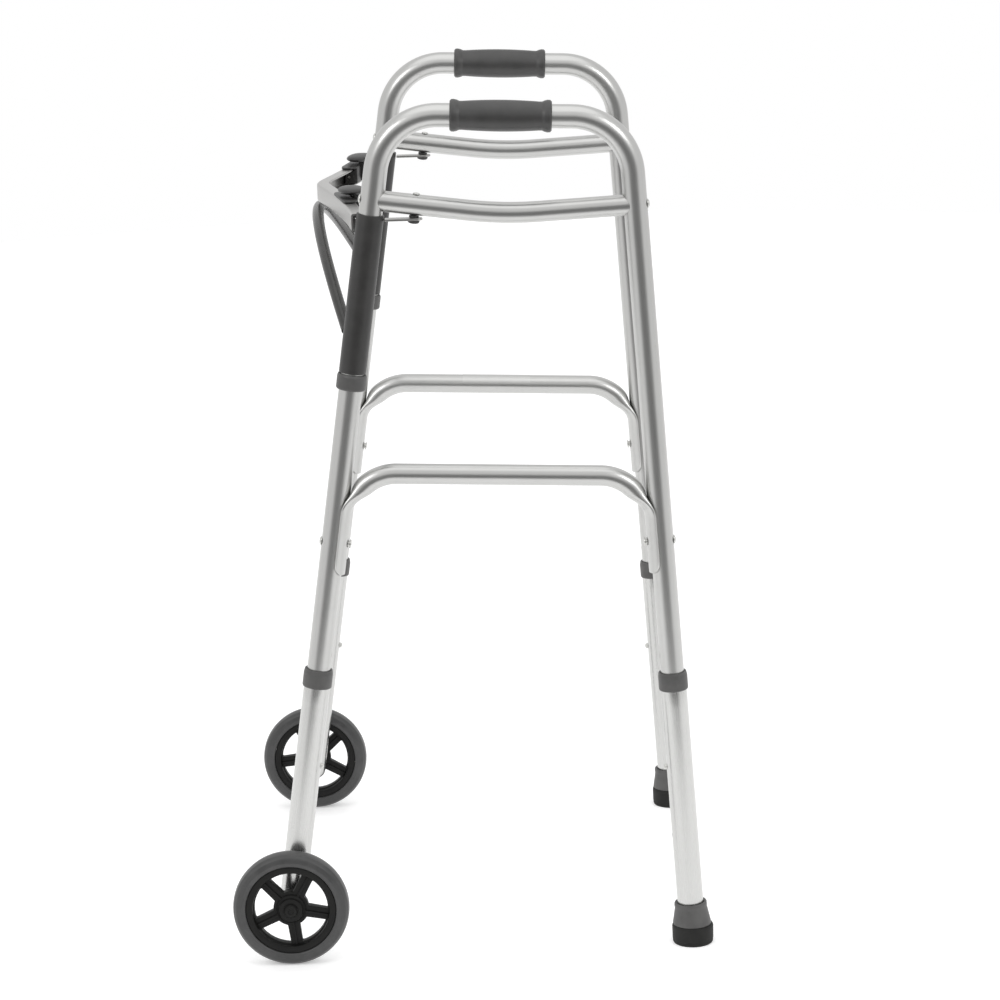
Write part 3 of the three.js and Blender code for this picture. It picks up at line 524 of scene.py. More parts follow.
def keep_middle(obj, point):
    """Drops the loose end pieces that a coping cut leaves beyond the legs."""
    bm = bmesh.new()
    bm.from_mesh(obj.data)
    bm.faces.ensure_lookup_table()
    left = set(bm.faces)
    islands = []
    while left:
        stack = [left.pop()]
        island = set(stack)
        while stack:
            f = stack.pop()
            for e in f.edges:
                for other in e.link_faces:
                    if other in left:
                        left.discard(other)
                        island.add(other)
                        stack.append(other)
        islands.append(island)
    p = point * MM

    def gap(island):
        return min((f.calc_center_median() - p).length for f in island)

    nearest = min(islands, key=gap)
    drop = [f for island in islands if island is not nearest for f in island]
    if drop:
        bmesh.ops.delete(bm, geom=drop, context="FACES")
    bm.to_mesh(obj.data)
    bm.free()


def lower_brace(word, g):
    x = g * HALF
    _, hi = box_mm("lower_brace_" + word)
    ends = []
    for end, (axis, inward, _) in LEGS.items():
        rivet = on_leg(end, f"lower_rivet_{end}_{word}")
        ends.append((rivet - axis * TAB_BELOW_RIVET, inward, axis))
    # the straight run crosses under the grips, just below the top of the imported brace
    middle = Vector((x, box_centre("hand_grip_" + word).y, hi.z - BRACE_R - 6.9))
    starts = [p + inward * TAB_MID for p, inward, _ in ends]
    corners = [meet(p, axis, inward, TAB_MID, middle) for p, inward, axis in ends]
    bent = rounded_path([starts[0], *corners, starts[1]], LOWER_BEND, 32)
    lead, tail = ([start + axis * (7 * k) for k in (0.25, 0.5, 1, 2, 3, 4, 5, 6, 7, 8)]
                  for start, (_, _, axis) in zip(starts, ends))
    path = [bent[0]] + lead + bent[1:-1] + tail[::-1] + [bent[-1]]
    tangents = tangents_of(path)

    def rings(radius, half):
        out = []
        for i, p in enumerate(path):
            end = 0 if i < len(path) / 2 else 1
            _, inward, axis = ends[end]
            s = (p - starts[end]).dot(axis)
            swing = math.acos(min(1.0, abs(tangents[i].dot(axis))))
            t = min(1.0, swing / FLAT_TURN)
            t = t * t * t * (t * (6 * t - 15) + 10)
            # the corners of the tab are rounded off over its last few millimetres
            trim = 1.0 - 0.34 * max(0.0, 1.0 - s / 10.0) ** 2
            across = tangents[i].cross(X).normalized()
            sign = -1.0 if across.dot(inward) > 0 else 1.0
            away = across * -sign
            ring = []
            for a, b in circle(1.0, 56):
                full = p + X * (a * radius) + across * (b * radius)
                wrap = a * TAB_WRAP * trim * (1.0 if half > 1 else 0.94)
                r = TAB_MID - half * max(-1.0, min(1.0, sign * b * 3.0))
                tab = p - away * TAB_MID + away * (r * math.cos(wrap)) + X * (r * math.sin(wrap))
                ring.append(tab.lerp(full, t))
            out.append(ring)
        return out

    loop = rings(BRACE_R, 1.6) + rings(BRACE_BORE, 0.25)[::-1]
    verts, faces, uvs = skin(loop, close=True)
    obj = build("lower_brace_tube_" + word, verts, faces, uvs, MATERIALS["tube"], 40)
    place(obj, "side_" + word, "lower_brace_" + word)
    return middle


def rivets(word):
    for brace in ("upper", "lower"):
        for end, (_, inward, _) in LEGS.items():
            name = f"{brace}_rivet_{end}_{word}"
            head = on_leg(end, name) - inward * TUBE_R
            stem = TUBE_R * 2 + (5.2 if brace == "lower" else 6.0)
            outline = [(0, -2.2), (2.6, -2.0, 1.0), (4.6, -0.9, 0.8), (5.0, 0.25, 0.2),
                       (3.1, 0.25), (3.1, stem)]
            if brace == "lower":
                outline += [(4.9, stem, 0.3), (4.4, stem + 1.5, 0.8), (0, stem + 2.1)]
            else:
                outline += [(0, stem)]
            obj = turned(f"rivet_{brace}_{end}_{word}", outline, head, inward, MATERIALS["steel"], n=36)
            place(obj, "side_" + word, name)


def hand_grip(word):
    name = "hand_grip_" + word
    c = box_centre(name)
    along = Vector((0, 1, -FALL)).normalized()
    start, length = run_of(name, along, c)
    ends = [(13.0, 0.0, 0.5), (15.2, 0.0, 0.9), (16.9, 1.6, 1.2), (17.1, 4.4, 1.4), (16.4, 7.4, 1.8),
            (15.15, 10.2, 2.5)]
    body = [(15.15 + 1.45 * math.sin(math.pi * k / 16) ** 0.85, 13.5 + (length - 27) * k / 16, 0)
            for k in range(17)]
    back = [(r, length - h, rad) for r, h, rad in ends[::-1]]
    obj = turned("grip_" + word, ends + body + back, start, along, MATERIALS["grip"], n=96, sharp=50)
    place(obj, "side_" + word, name)


# ---- side latches ---------------------------------------------------------------------------
def latch(word, g, a, dip):
    """Level strip under the upper brace and the bolt that holds it."""
    x = g * HALF
    slope = (a.z - dip.z) / (dip.y - a.y)
    up = Vector((0, slope, 1)).normalized()
    lo, hi = box_mm("latch_bolt_" + word)
    y = (lo.y + hi.y) / 2
    centre = Vector((x, y, dip.z + slope * (dip.y - y)))
    bar_lo, bar_hi = box_mm("latch_bar_" + word)
    z = (bar_lo.z + bar_hi.z) / 2
    round_end = bar_hi.y - 7
    outline = [(-6.3, bar_lo.y), (6.3, bar_lo.y), (6.5, round_end)]
    outline += [(6.5 * math.cos(k * math.pi / 12), round_end + 6.6 * math.sin(k * math.pi / 12))
                for k in range(1, 12)]
    outline += [(-6.5, round_end)]
    bore = drill(centre - up * 24, centre, 3.1, 32)
    bar = prism("latch_strip_" + word, outline, 1.2, Vector((x, 0, z)), X, Y, Z, MATERIALS["strip"],
                0.45, [bore])
    place(bar, "side_" + word, "latch_bar_" + word)
    low, under, top = -16.6, -BRACE_R - 0.5, BRACE_R + 0.1
    outline = [(0, low - 3.6), (3.4, low - 3.5, 1.2), (5.6, low - 2.7, 1.2), (6.3, low - 1.4, 0.6),
               (6.3, low, 0.3), (2.8, low), (2.8, -14.2), (5.2, -14.2, 0.4), (5.2, under, 0.4), (2.8, under),
               (2.8, top), (3.8, top, 0.2), (3.4, top + 1.1, 0.5), (1.6, top + 1.6, 0.8), (0, top + 1.65)]
    bolt = turned("latch_knob_" + word, outline, centre, up, MATERIALS["sleeve"], n=48)
    bolt.data.materials.append(MATERIALS["steel"])
    for f in bolt.data.polygons:
        if (Vector(f.center) / MM - centre).dot(up) > 0:
            f.material_index = 1
    place(bolt, "side_" + word, "latch_bolt_" + word)


# ---- hinge sleeves, bow and arch ------------------------------------------------------------
def sleeve_and_collar(word, g):
    through = front_at(g * HALF, HINGE_Z)
    start, length = run_of("hinge_sleeve_" + word, FRONT_AXIS, through)
    obj = turned("hinge_sleeve_tube_" + word,
                 [(SLEEVE_BORE, 0), (SLEEVE_R, 0, 0.7), (SLEEVE_R, length, 0.7), (SLEEVE_BORE, length, 0.2)],
                 start, FRONT_AXIS, MATERIALS["sleeve"], n=80)
    place(obj, "front_assembly", "hinge_sleeve_" + word)
    start, length = run_of("hinge_collar_" + word, FRONT_AXIS, through)
    obj = turned("hinge_collar_ring_" + word,
                 [(12.9, 0), (15.0, 0, 0.6), (COLLAR_R, 1.6, 0.6), (COLLAR_R, length - 2.4, 1.0),
                  (15.1, length, 0.5), (12.9, length)], start, FRONT_AXIS, MATERIALS["collar"], n=80)
    place(obj, "side_" + word, "hinge_collar_" + word)


def bow_line(x):
    """Point on the bow's front face: a blunt V with a rounded nose, seen from above."""
    lo, hi = box_mm("front_bow")
    y = lo.y + BOW_SLOPE * (math.hypot(x, BOW_NOSE_R) - BOW_NOSE_R) - BOW_EASE * x * x
    return Vector((x, y, (lo.z + hi.z) / 2))


def leg_drills(z, radius):
    cutters = []
    for _, g in SIDES:
        p = front_at(g * HALF, z)
        cutters.append(drill(p - FRONT_AXIS * 60, p + FRONT_AXIS * 60, radius, 72))
    return cutters


def front_bow():
    half = 48
    path = [bow_line(BOW_HALF_LENGTH * math.copysign(abs(k / half) ** 1.5, k))
            for k in range(-half, half + 1)]
    h, w, d = BOW_HALF_HEIGHT, BOW_WALL, BOW_DEPTH
    section = fillet([(-h, 0, 2.6), (h, 0, 2.6), (h, d, 0.7), (h - w, d, 0.5), (h - w, w, 1.2),
                      (-h + w, w, 1.2), (-h + w, d, 0.5), (-h, d, 0.7)], 6)
    rings = []
    for p, t in zip(path, tangents_of(path)):
        back = Z.cross(t).normalized()
        rings.append([p + Z * q.x + back * q.y for q in section])
    verts, faces, uvs = skin(rings, caps=True)
    obj = build("bow_strip", verts, faces, uvs, MATERIALS["strip"])
    carve(obj, leg_drills(path[half].z, SLEEVE_R + 0.1))
    keep_middle(obj, path[half])
    place(obj, "front_assembly", "front_bow")


def front_arch():
    lo, hi = box_mm("front_arch")
    crown = Vector((0, lo.y + ARCH_INSET, hi.z - ARCH_INSET))
    path = []
    for k in range(-32, 33):
        x = ARCH_HALF_LENGTH * k / 32
        drop = x * x / ARCH_SPREAD
        path.append(Vector((x, crown.y + drop * ARCH_LEAN, crown.z - drop)))
    plane = Vector((0, 1, ARCH_LEAN)).normalized()
    obj = tube("arch_tube", path, plane, ARCH_R, ARCH_BORE, MATERIALS["arch"], n=32)
    carve(obj, leg_drills(ARCH_END_Z, SLEEVE_R + 0.1))
    keep_middle(obj, crown)
    place(obj, "front_assembly", "front_arch")


# ---- release paddles ------------------------------------------------------------------------
def paddle_frame(g):
    """Origin on the bow's front face, with axes along the bow and back towards the user."""
    a = math.atan(BOW_SLOPE * PADDLE_X / math.hypot(PADDLE_X, BOW_NOSE_R) - 2 * BOW_EASE * PADDLE_X)
    along = Vector((math.cos(a), g * math.sin(a), 0))
    back = Vector((-g * math.sin(a), math.cos(a), 0))
    return bow_line(g * PADDLE_X), along, back


def prism(name, outline, half, origin, u, v, w, material, bevel=0.8, cuts=()):
    """Outline in the (u, v) plane pressed out half a width each way along w, edges rounded."""
    n = len(outline)
    verts = [origin + u * a + v * b - w * half for a, b in outline]
    verts += [origin + u * a + v * b + w * half for a, b in outline]
    faces = [tuple(range(n)), tuple(range(2 * n - 1, n - 1, -1))]
    faces += [(j, (j + 1) % n, (j + 1) % n + n, j + n) for j in range(n)]
    uvs = []
    for f in faces:
        for i in f:
            p = verts[i] - origin
            uvs.append((p.dot(u) * MM, (p.dot(v) + p.dot(w)) * MM))
    obj = build(name, verts, faces, uvs, material)
    if cuts:
        carve(obj, list(cuts))
    if bevel:
        m = obj.modifiers.new("edges", "BEVEL")
        m.width = bevel * MM
        m.segments = 3
        m.limit_method = "ANGLE"
        m.angle_limit = math.radians(38)
        m.harden_normals = False
        bake_modifiers(obj).set_sharp_from_angle(angle=math.radians(40))
    return obj


def join_into(first, others):
    """Merges meshes into the first object, keeping every piece's own faces."""
    bm = bmesh.new()
    bm.from_mesh(first.data)
    for o in others:
        bm.from_mesh(o.data)
    bm.to_mesh(first.data)
    bm.free()
    for o in others:
        bpy.data.objects.remove(o)
    first.data.set_sharp_from_angle(angle=math.radians(40))
    return first


def paddle(word, g):
    origin, along, back = paddle_frame(g)

    def at(u, v, w):
        return origin + along * u + back * v + Z * w

    black = MATERIALS["sleeve"]
    # saddle: a boat-shaped plate on the top flange and a cheek inside the channel on each side
    parts = []
    for s in (-1, 1):
        bore = drill(at(s * 19.6 - 12, PIN_BACK, 0), at(s * 19.6 + 12, PIN_BACK, 0), PIN_BORE, 24)
        cheek = fillet([(3.9, -7.5, 1.2), (17.9, -7.5, 2.2), (17.9, 12.4, 0.5), (14.45, 12.4, 0.2),
                        (14.45, 7.5, 0.4), (3.9, 7.5, 1.2)], 4)
        parts.append(prism("saddle_part", [(p.x, p.y) for p in cheek], 8.4, at(s * 19.6, 0, 0),
                           back, Z, along, black, 0.6, [bore]))
    boat = [(-38.5, 6.8, 0), (-35, 1.6, 6), (-26, -0.5, 10), (26, -0.5, 10), (35, 1.6, 6), (38.5, 6.8, 0),
            (36, 12.4, 4), (29, 17.9, 5), (11.6, 17.9, 1.2), (11.6, 13.7, 1.0), (-11.6, 13.7, 1.0),
            (-11.6, 17.9, 1.2), (-29, 17.9, 5), (-36, 12.4, 4)]
    boat = [(p.x, p.y) for p in fillet(boat, 6)]
    parts.append(prism("saddle_part", boat, 1.15, at(0, 0, 11.5), along, back, Z, black, 0.8))
    housing = join_into(parts[0], parts[1:])
    housing.name = "paddle_saddle_" + word
    place(housing, "front_assembly", "paddle_housing_" + word)
    pin = turned("paddle_axle_" + word, [(0, 0), (PIN_R, 0, 0.4), (PIN_R, 52, 0.4), (0, 52)],
                 at(-26, PIN_BACK, 0), along, MATERIALS["steel"], n=24)
    place(pin, "front_assembly", "paddle_pin_" + word)
    # lever: hub on the pin, short arm, waisted neck and mushroom pad
    lever = [(3.1, -4.5, 3), (12, -4.7, 1), (19.5, -3.8, 2), (21.8, -1, 3), (20.6, 8, 6), (22.4, 17, 0.5),
             (14.9, 17, 0.5), (15.8, 9, 5), (14.9, 5, 1.5), (12.3, 4.7, 1), (3.1, 4.5, 3)]
    lever = [(p.x, p.y) for p in fillet(lever, 6)]
    bore = drill(at(-14, PIN_BACK, 0), at(14, PIN_BACK, 0), PIN_BORE, 24)
    arm = prism("lever_part", lever, 9.0, at(0, 0, 0), back, Z, along, black, 1.4, [bore])
    # the pad is a rounded rectangle, 22 by 14.6 half across, scaled by r at each height h
    power = 2 / 2.35
    rows = []
    for r, h in ((0, 15.3), (0.55, 15.5), (0.86, 16.3), (0.985, 18.2), (1.0, 19.4), (0.95, 20.8),
                 (0.82, 22.0), (0.55, 23.0), (0.25, 23.5), (0, 23.6)):
        rows.append([at(22 * math.copysign(abs(c) ** power, c) * r,
                        15 + 14.6 * math.copysign(abs(s) ** power, s) * r, h) for c, s in circle(1.0, 64)])
    verts, faces, uvs = skin(rows)
    pad = build("pad_part", verts, faces, uvs, black, 50)
    sub = pad.modifiers.new("smooth", "SUBSURF")
    sub.levels = 1
    sub.render_levels = 1
    bake_modifiers(pad)
    obj = join_into(arm, [pad])
    obj.name = "paddle_lever_" + word
    place(obj, "paddle_" + word, "release_paddle_" + word)


# ---- legs -----------------------------------------------------------------------------------
def extensions(word, g):
    x = g * HALF
    axle = mm(JOINTS["wheel_spin_" + word]["pos_m"])
    through = front_at(x, 200)
    start, length = run_of("front_leg_extension_" + word, FRONT_AXIS, through)
    dome = [(0, 0)] + [(EXT_R * math.sin(math.pi * k / 20) ** 0.8, 11 - 11 * math.cos(math.pi * k / 20))
                       for k in range(1, 10)]
    inner = [(EXT_BORE, length, 0.2), (EXT_BORE, 13), (10, 5), (0, 3)]
    outline = dome + [(EXT_R, 11)] + [(EXT_R, 11 + (length - 11) * k / 12) for k in range(1, 12)]
    outline += [(EXT_R, length, 0.4)] + inner
    obj = turned("front_extension_" + word, outline, start, FRONT_AXIS, MATERIALS["extension"], n=72)
    hub = front_at(x, axle.z)
    b = on_leg("front", "front_snap_button_" + word)
    carve(obj, [drill(hub - X * 30, hub + X * 30, 4.5, 32),
                drill(b + FRONT_IN * 4, b + FRONT_IN * 22, BUTTON_HOLE_R, 32)])
    place(obj, "front_leg_" + word, "front_leg_extension_" + word)

    through = rear_at(x, 200)
    start, length = run_of("rear_leg_extension_" + word, REAR_AXIS, through)
    outline = [(EXT_BORE, 0), (EXT_R, 0, 0.4)] + [(EXT_R, length * k / 12) for k in range(1, 12)]
    outline += [(EXT_R, length, 0.4), (EXT_BORE, length)]
    obj = turned("rear_extension_" + word, outline, start, REAR_AXIS, MATERIALS["extension"], n=72)
    b = on_leg("rear", "rear_snap_button_" + word)
    spare = b - REAR_AXIS * (3 * HOLE_PITCH)
    carve(obj, [drill(p + REAR_IN * 4, p + REAR_IN * 22, BUTTON_HOLE_R, 32) for p in (b, spare)])
    place(obj, "rear_leg_" + word, "rear_leg_extension_" + word)

    for end, (axis, inward, leg_at) in LEGS.items():
        start, length = run_of(f"{end}_leg_collar_{word}", axis, leg_at(x, 300))
        ring = turned(f"{end}_collar_{word}",
                      [(EXT_R + 0.2, 0), (15.4, 0, 0.5), (COLLAR_R, 1.2, 0.5), (COLLAR_R, length - 4.6, 0.9),
                       (15.0, length, 0.7), (13.15, length, 0.3), (13.15, 4.6), (EXT_R + 0.2, 4.6)],
                      start, axis, MATERIALS["collar"], n=80)
        place(ring, f"{end}_leg_{word}", f"{end}_leg_collar_{word}")
        b = on_leg(end, f"{end}_snap_button_{word}")
        dome = [(0, 8.0), (3.25, 8.0), (3.25, 15.2)]
        dome += [(3.25 * math.cos(k * math.pi / 12), 15.2 + 2.4 * math.sin(k * math.pi / 12))
                 for k in range(1, 6)]
        stud = turned(f"{end}_button_stud_{word}", dome + [(0, 17.6)], b, inward, MATERIALS["steel"], n=32)
        place(stud, f"{end}_button_{word}", f"{end}_snap_button_{word}")


def rear_tip(word, g):
    x = g * HALF
    square = Vector((0, REAR_AXIS.z, -REAR_AXIS.y))
    # height, how far the ring has turned from level to square with the leg, radius
    rows = [(21.3, 0.0, 20.7), (22.2, 0.0, 21.2), (24.0, 0.1, 20.9), (27.5, 0.35, 20.2), (33, 0.8, 19.1),
            (39, 1, 18.0), (41.6, 1, 17.65), (42.6, 1, 18.0), (45.4, 1, 17.9), (46.5, 1, 17.3),
            (46.6, 1, 16.2), (46.2, 1, 15.0), (45.0, 0.0, EXT_R + 0.25), (21.3, 0.0, EXT_R + 0.25)]
    rings = []
    for h, t, r in rows:
        e2 = Y.lerp(square, t).normalized()
        rings.append([rear_at(x, h) + X * a + e2 * b for a, b in circle(r, 80)])
    verts, faces, uvs = skin(rings, close=True)
    obj = build("foot_upper_" + word, verts, faces, uvs, MATERIALS["tip"], 40)
    place(obj, "rear_leg_" + word, "rear_tip_" + word)
    lo, hi = box_mm("rear_tip_base_" + word)
    c = Vector((x, (lo.y + hi.y) / 2, 0))
    top = hi.z
    outline = [(0, 0.9), (14, 0.9), (15, 0.0, 0.2), (21.3, 0, 0.6), (22.2, 1.6, 0.8), (22.2, 3.4, 0.3),
               (21.9, 4.0, 0.2), (22.5, 4.8, 0.3), (22.75, top - 2.2, 1.0), (21.7, top, 0.6), (0, top)]
    obj = turned("foot_base_" + word, outline, c, Z, MATERIALS["base"], n=96)
    place(obj, "rear_leg_" + word, "rear_tip_base_" + word)


# ---- wheels ---------------------------------------------------------------------------------
def spoke_opening(middle):
    """Rounded outline of one gap between two spokes, about the wheel centre."""
    outer, inner = 41.2, 18.4
    a1 = math.pi / SPOKES - math.asin(5.2 / outer)
    a2 = math.pi / SPOKES - math.asin(5.6 / inner)
    loop = []
    for i in range(9):
        a = middle - a1 + 2 * a1 * i / 8
        loop.append((outer * math.cos(a), outer * math.sin(a), 4.2 if i in (0, 8) else 0))
    for i in range(5):
        a = middle + a2 - 2 * a2 * i / 4
        loop.append((inner * math.cos(a), inner * math.sin(a), 2.2 if i in (0, 4) else 0))
    return [(p.x, p.y) for p in fillet(loop, 5)]


def spoke_phase(word):
    """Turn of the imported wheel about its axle, from where its spokes lie between boss and rim."""
    centre = mm(JOINTS["wheel_spin_" + word]["pos_m"])
    weight = 0j
    for v in frame["nodes"]["wheel_hub_" + word].data.vertices:
        d = mm(v.co) - centre
        r = math.hypot(d.y, d.z)
        if 35.5 < r < 38.5:
            a = math.atan2(d.z, d.y)
            weight += complex(math.cos(SPOKES * a), math.sin(SPOKES * a))
    return math.atan2(weight.imag, weight.real) / SPOKES


def wheel(word, g):
    lo, hi = box_mm("tyre_" + word)
    centre = mm(JOINTS["wheel_spin_" + word]["pos_m"])
    centre.x = (lo.x + hi.x) / 2
    out = Vector((g, 0, 0))
    phase = spoke_phase(word)
    curve = bpy.data.curves.new("web", "CURVE")
    curve.dimensions = "2D"
    curve.fill_mode = "BOTH"
    curve.extrude = 4.0 * MM
    curve.bevel_depth = 1.1 * MM
    curve.bevel_resolution = 3
    openings = [spoke_opening(phase + (k + 0.5) * TURN / SPOKES) for k in range(SPOKES)]
    for loop in [circle(46, 96)] + openings:
        sp = curve.splines.new("POLY")
        sp.points.add(len(loop) - 1)
        for q, (a, b) in zip(sp.points, loop):
            q.co = (a * MM, b * MM, 0, 1)
        sp.use_cyclic_u = True
    temp = bpy.data.objects.new("web", curve)
    bpy.context.scene.collection.objects.link(temp)
    dg = bpy.context.evaluated_depsgraph_get()
    web_mesh = bpy.data.meshes.new_from_object(temp.evaluated_get(dg))
    bpy.data.objects.remove(temp)
    # the outline's axes are +Y and +Z of the frame, its normal is +X
    web_mesh.transform(Matrix(((0, 0, 1, centre.x * MM), (1, 0, 0, centre.y * MM),
                               (0, 1, 0, centre.z * MM), (0, 0, 0, 1))))
    bm = bmesh.new()
    bm.from_mesh(web_mesh)
    bmesh.ops.remove_doubles(bm, verts=bm.verts, dist=1e-6)
    uv = bm.loops.layers.uv.verify()
    for f in bm.faces:
        for l in f.loops:
            l[uv].uv = (l.vert.co.y, l.vert.co.z)
    bm.to_mesh(web_mesh)
    bm.free()
    web_mesh.materials.clear()
    web_mesh.materials.append(MATERIALS["rim"])
    web_mesh.shade_smooth()
    web = bpy.data.objects.new("web_part", web_mesh)
    bpy.context.scene.collection.objects.link(web)
    rim = turned("rim_part", [(42.2, -10.2, 0.6), (44.2, -10.9, 0.8), (48.9, -10.9, 0.8), (49.4, -10.0, 0.3),
                              (49.4, 10.0, 0.3), (48.9, 10.9, 0.8), (44.2, 10.9, 0.8), (42.2, 10.2, 0.6),
                              (41.3, 5.6, 1.0), (41.3, -5.6, 1.0)], centre, out, MATERIALS["rim"], n=128)
    boss = turned("boss_part", [(4.6, -12), (10.6, -12, 0.8), (12.4, -8.5, 1.2), (16.2, -6.6, 1.5),
                                (16.4, -4, 0.5), (16.4, 4, 0.5), (16.2, 6.6, 1.5), (13.6, 9.2, 1.2),
                                (12.6, 12, 0.9), (4.6, 12)], centre, out, MATERIALS["rim"], n=72)
    ribs = []
    for k in range(SPOKES):
        a = phase + k * TURN / SPOKES
        u = Vector((0, math.cos(a), math.sin(a)))
        v = Vector((0, -math.sin(a), math.cos(a)))
        rib = [(13, -1.3), (44, -1.0), (44, 1.0), (13, 1.3)]
        ribs.append(prism("rib_part", rib, 7.0, centre, u, v, X, MATERIALS["rim"], 0.6))
    hub = join_into(web, [rim, boss] + ribs)
    hub.name = "spoked_rim_" + word
    place(hub, "wheel_" + word, "wheel_hub_" + word)
    side = [(49.6, -11.2, 0.4), (50.6, 0.3 - TYRE_HALF, 0.7), (54.4, -TYRE_HALF, 1.5), (59.6, -11.3, 3.4),
            (62.7, -7.4, 3.0), (WHEEL_R, -3.2, 3.0)]
    seam = [(WHEEL_R, -0.5), (WHEEL_R + 0.12, -0.18), (WHEEL_R + 0.12, 0.18), (WHEEL_R, 0.5)]
    other = [(r, -h, rad) for r, h, rad in side[::-1]]
    tyre = turned("tyre_ring_" + word, side + seam + other, centre, X, MATERIALS["tyre"], n=144, steps=6,
                  sharp=50)
    place(tyre, "wheel_" + word, "tyre_" + word)
    start, length = run_of("wheel_spacer_" + word, out, centre)
    washer = turned("spacer_" + word, [(4.4, 0), (9, 0, 0.4), (9, length, 0.4), (4.4, length)],
                    Vector((start.x, centre.y, centre.z)), out, MATERIALS["sleeve"], n=48)
    place(washer, "front_leg_" + word, "wheel_spacer_" + word)
    inner, length = run_of("axle_bolt_" + word, out, centre)
    first = Vector((inner.x, centre.y, centre.z))
    head = length - 4.6
    outline = [(0, 0), (3.0, 0, 0.3), (3.9, 1.0, 0.4), (3.9, head), (7.7, head, 0.4),
               (7.7, length - 3, 0.9), (6.1, length - 0.6, 0.8), (3.2, length - 0.2, 0.3),
               (2.6, length - 1.1, 0.3), (0, length - 1.1)]
    bolt = turned("axle_" + word, outline, first, out, MATERIALS["rim"], n=48)
    bolt.data.materials.append(MATERIALS["steel"])
    for f in bolt.data.polygons:
        if (f.center.x / MM - first.x) * g < 30:
            f.material_index = 1
    place(bolt, "front_leg_" + word, "axle_bolt_" + word)


# ---- label on the far lower brace -----------------------------------------------------------
def blank_label(word, middle):
    """Plain film wrapped half round the straight run of the brace."""
    along = Vector((0, 1, -FALL)).normalized()
    up = X.cross(along)
    behind, ahead, steps = -56.0, 25.0, 18
    angles = [math.radians(20 + 122 * k / 24) for k in range(25)]
    rings = []
    for i in range(steps + 1):
        c = middle + along * (behind + (ahead - behind) * i / steps)
        rings.append([c + X * (r * math.cos(t)) + up * (r * math.sin(t))
                      for r, arc in ((BRACE_R + 0.18, angles), (BRACE_R + 0.04, angles[::-1])) for t in arc])
    verts, faces, uvs = skin(rings, caps=True)
    obj = build("blank_label", verts, faces, uvs, MATERIALS["label"], 30)
    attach(obj, "side_" + word)


for side_word, sign in SIDES:
    side_frame(side_word, sign)
    brace_a, brace_dip = upper_brace(side_word, sign)
    lower_middle = lower_brace(side_word, sign)
    rivets(side_word)
    hand_grip(side_word)
    latch(side_word, sign, brace_a, brace_dip)
    sleeve_and_collar(side_word, sign)
    paddle(side_word, sign)
    extensions(side_word, sign)
    rear_tip(side_word, sign)
    wheel(side_word, sign)
    if side_word == "right":
        blank_label(side_word, lower_middle)
front_bow()
front_arch()


# ---- floor, light and camera ----------------------------------------------------------------
def floor_piece():
    """Wide oval sheet, longest behind the walker, near white like the photograph's ground."""
    rings = []
    for r in (0.0, 0.2, 0.45, 0.7, 1.0):
        rings.append([Vector((3100 * a - 1950, 3200 * b, 0)) for a, b in circle(r, 96)])
    verts, faces, uvs = skin(rings)
    m, nt, bsdf = shader("studio_floor")
    vec = mapped(nt, "Object", (1, 1, 1))
    nt.links.new(ramp(nt, noise(nt, vec, 3.0, 3.0), [(0.3, 0.86), (0.7, 0.885)]), bsdf.inputs["Base Color"])
    bsdf.inputs["Roughness"].default_value = 0.65
    bsdf.inputs["Specular IOR Level"].default_value = 0.25
    bsdf.inputs["Emission Color"].default_value = (1.0, 1.0, 1.0, 1.0)
    bsdf.inputs["Emission Strength"].default_value = 0.30
    floor = build("studio_floor", verts, faces, uvs, m)


def soft_light(name, at, towards, size, power):
    light = bpy.data.lights.new(name, "AREA")
    light.shape = "DISK"
    light.size = size
    light.energy = power
    obj = bpy.data.objects.new(name, light)
    obj.location = at
    obj.rotation_mode = "QUATERNION"
    obj.rotation_quaternion = (Vector(towards) - Vector(at)).to_track_quat("-Z", "Y")
    bpy.context.scene.collection.objects.link(obj)


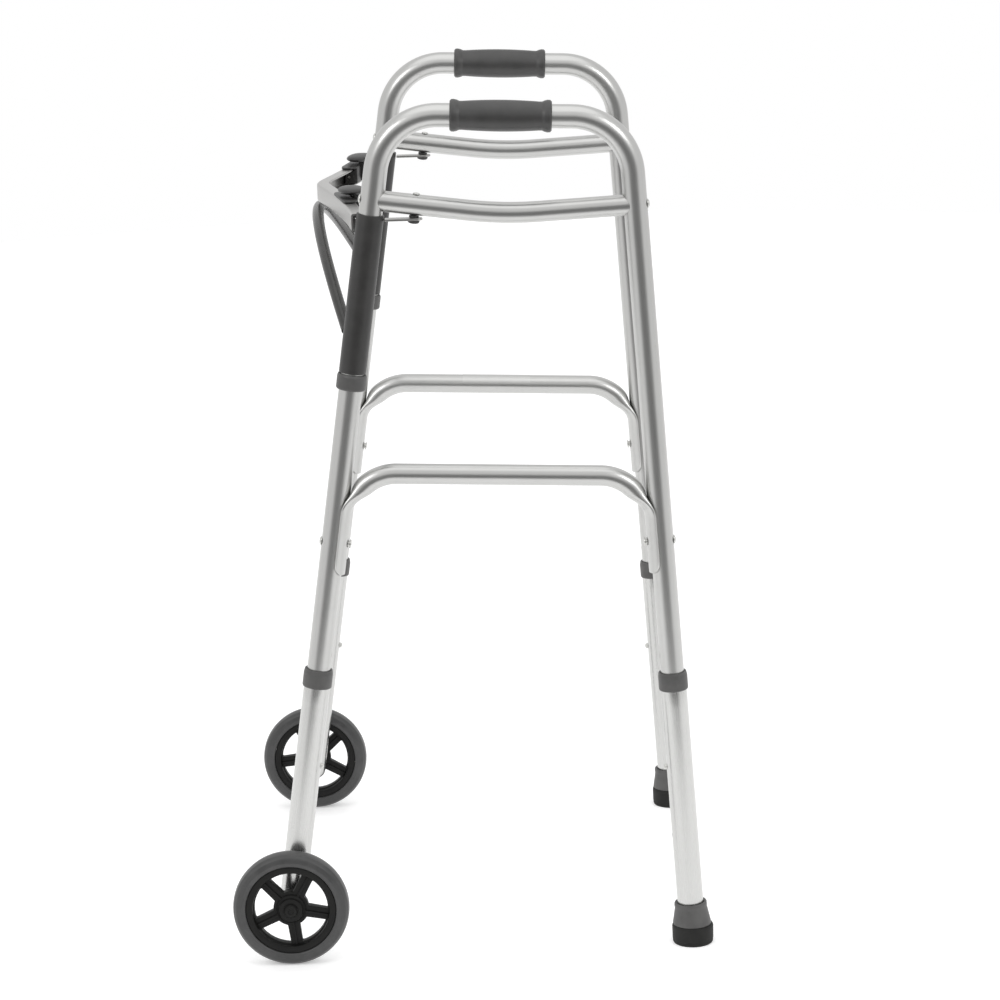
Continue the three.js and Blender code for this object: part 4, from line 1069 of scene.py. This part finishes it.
def studio_world():
    """Bright room with one darker zone where the camera stands, seen only in reflections."""
    world = bpy.data.worlds.new("studio")
    bpy.context.scene.world = world
    world.use_nodes = True
    nt = world.node_tree
    background = nt.nodes["Background"]
    tc = nt.nodes.new("ShaderNodeTexCoord")
    parts = nt.nodes.new("ShaderNodeSeparateXYZ")
    nt.links.new(tc.outputs["Generated"], parts.inputs["Vector"])

    def smooth(source, lo, hi, to_lo, to_hi):
        r = nt.nodes.new("ShaderNodeMapRange")
        r.interpolation_type = "SMOOTHSTEP"
        for key, value in (("From Min", lo), ("From Max", hi), ("To Min", to_lo), ("To Max", to_hi)):
            r.inputs[key].default_value = value
        nt.links.new(source, r.inputs["Value"])
        return r.outputs["Result"]

    towards = smooth(parts.outputs["X"], 0.60, 0.93, 0.0, 1.0)
    level = smooth(parts.outputs["Z"], 0.04, 0.36, 1.0, 0.0)
    zone = maths(nt, "MULTIPLY", towards, level)
    strength = maths(nt, "SUBTRACT", 0.95, maths(nt, "MULTIPLY", zone, 0.74))
    path = nt.nodes.new("ShaderNodeLightPath")
    mixed = nt.nodes.new("ShaderNodeMix")
    nt.links.new(path.outputs["Is Camera Ray"], mixed.inputs["Factor"])
    nt.links.new(strength, mixed.inputs["A"])
    mixed.inputs["B"].default_value = 1.0
    background.inputs["Color"].default_value = (1.0, 1.0, 1.0, 1.0)
    nt.links.new(mixed.outputs["Result"], background.inputs["Strength"])


floor_piece()
studio_world()
soft_light("overhead", (0.4, 0.0, 3.2), (0, 0, 0.4), 3.0, 12)
soft_light("front_left", (1.9, -1.9, 2.3), (0, 0, 0.4), 1.0, 11)
soft_light("front_right", (1.9, 1.9, 2.3), (0, 0, 0.4), 1.0, 11)

PITCH, YAW, ROLL = (math.radians(a) for a in (13.3325, -0.2839, -1.7892))
fw = Vector((-math.cos(PITCH) * math.cos(YAW), math.cos(PITCH) * math.sin(YAW), -math.sin(PITCH)))
right = fw.cross(Z).normalized()
upward = right.cross(fw)
right_rolled = right * math.cos(ROLL) + upward * math.sin(ROLL)
up_rolled = upward * math.cos(ROLL) - right * math.sin(ROLL)
camera_data = bpy.data.cameras.new("camera")
camera_data.lens = 128.882
camera_data.sensor_width = 36.0
camera_data.clip_end = 50.0
camera = bpy.data.objects.new("camera", camera_data)
basis = Matrix((right_rolled, up_rolled, -fw)).transposed().to_4x4()
basis.translation = Vector((3.97948, 0.06071, 1.39195))
camera.matrix_world = basis
bpy.context.scene.collection.objects.link(camera)
bpy.context.scene.camera = camera
bpy.context.scene.view_settings.view_transform = "Standard"
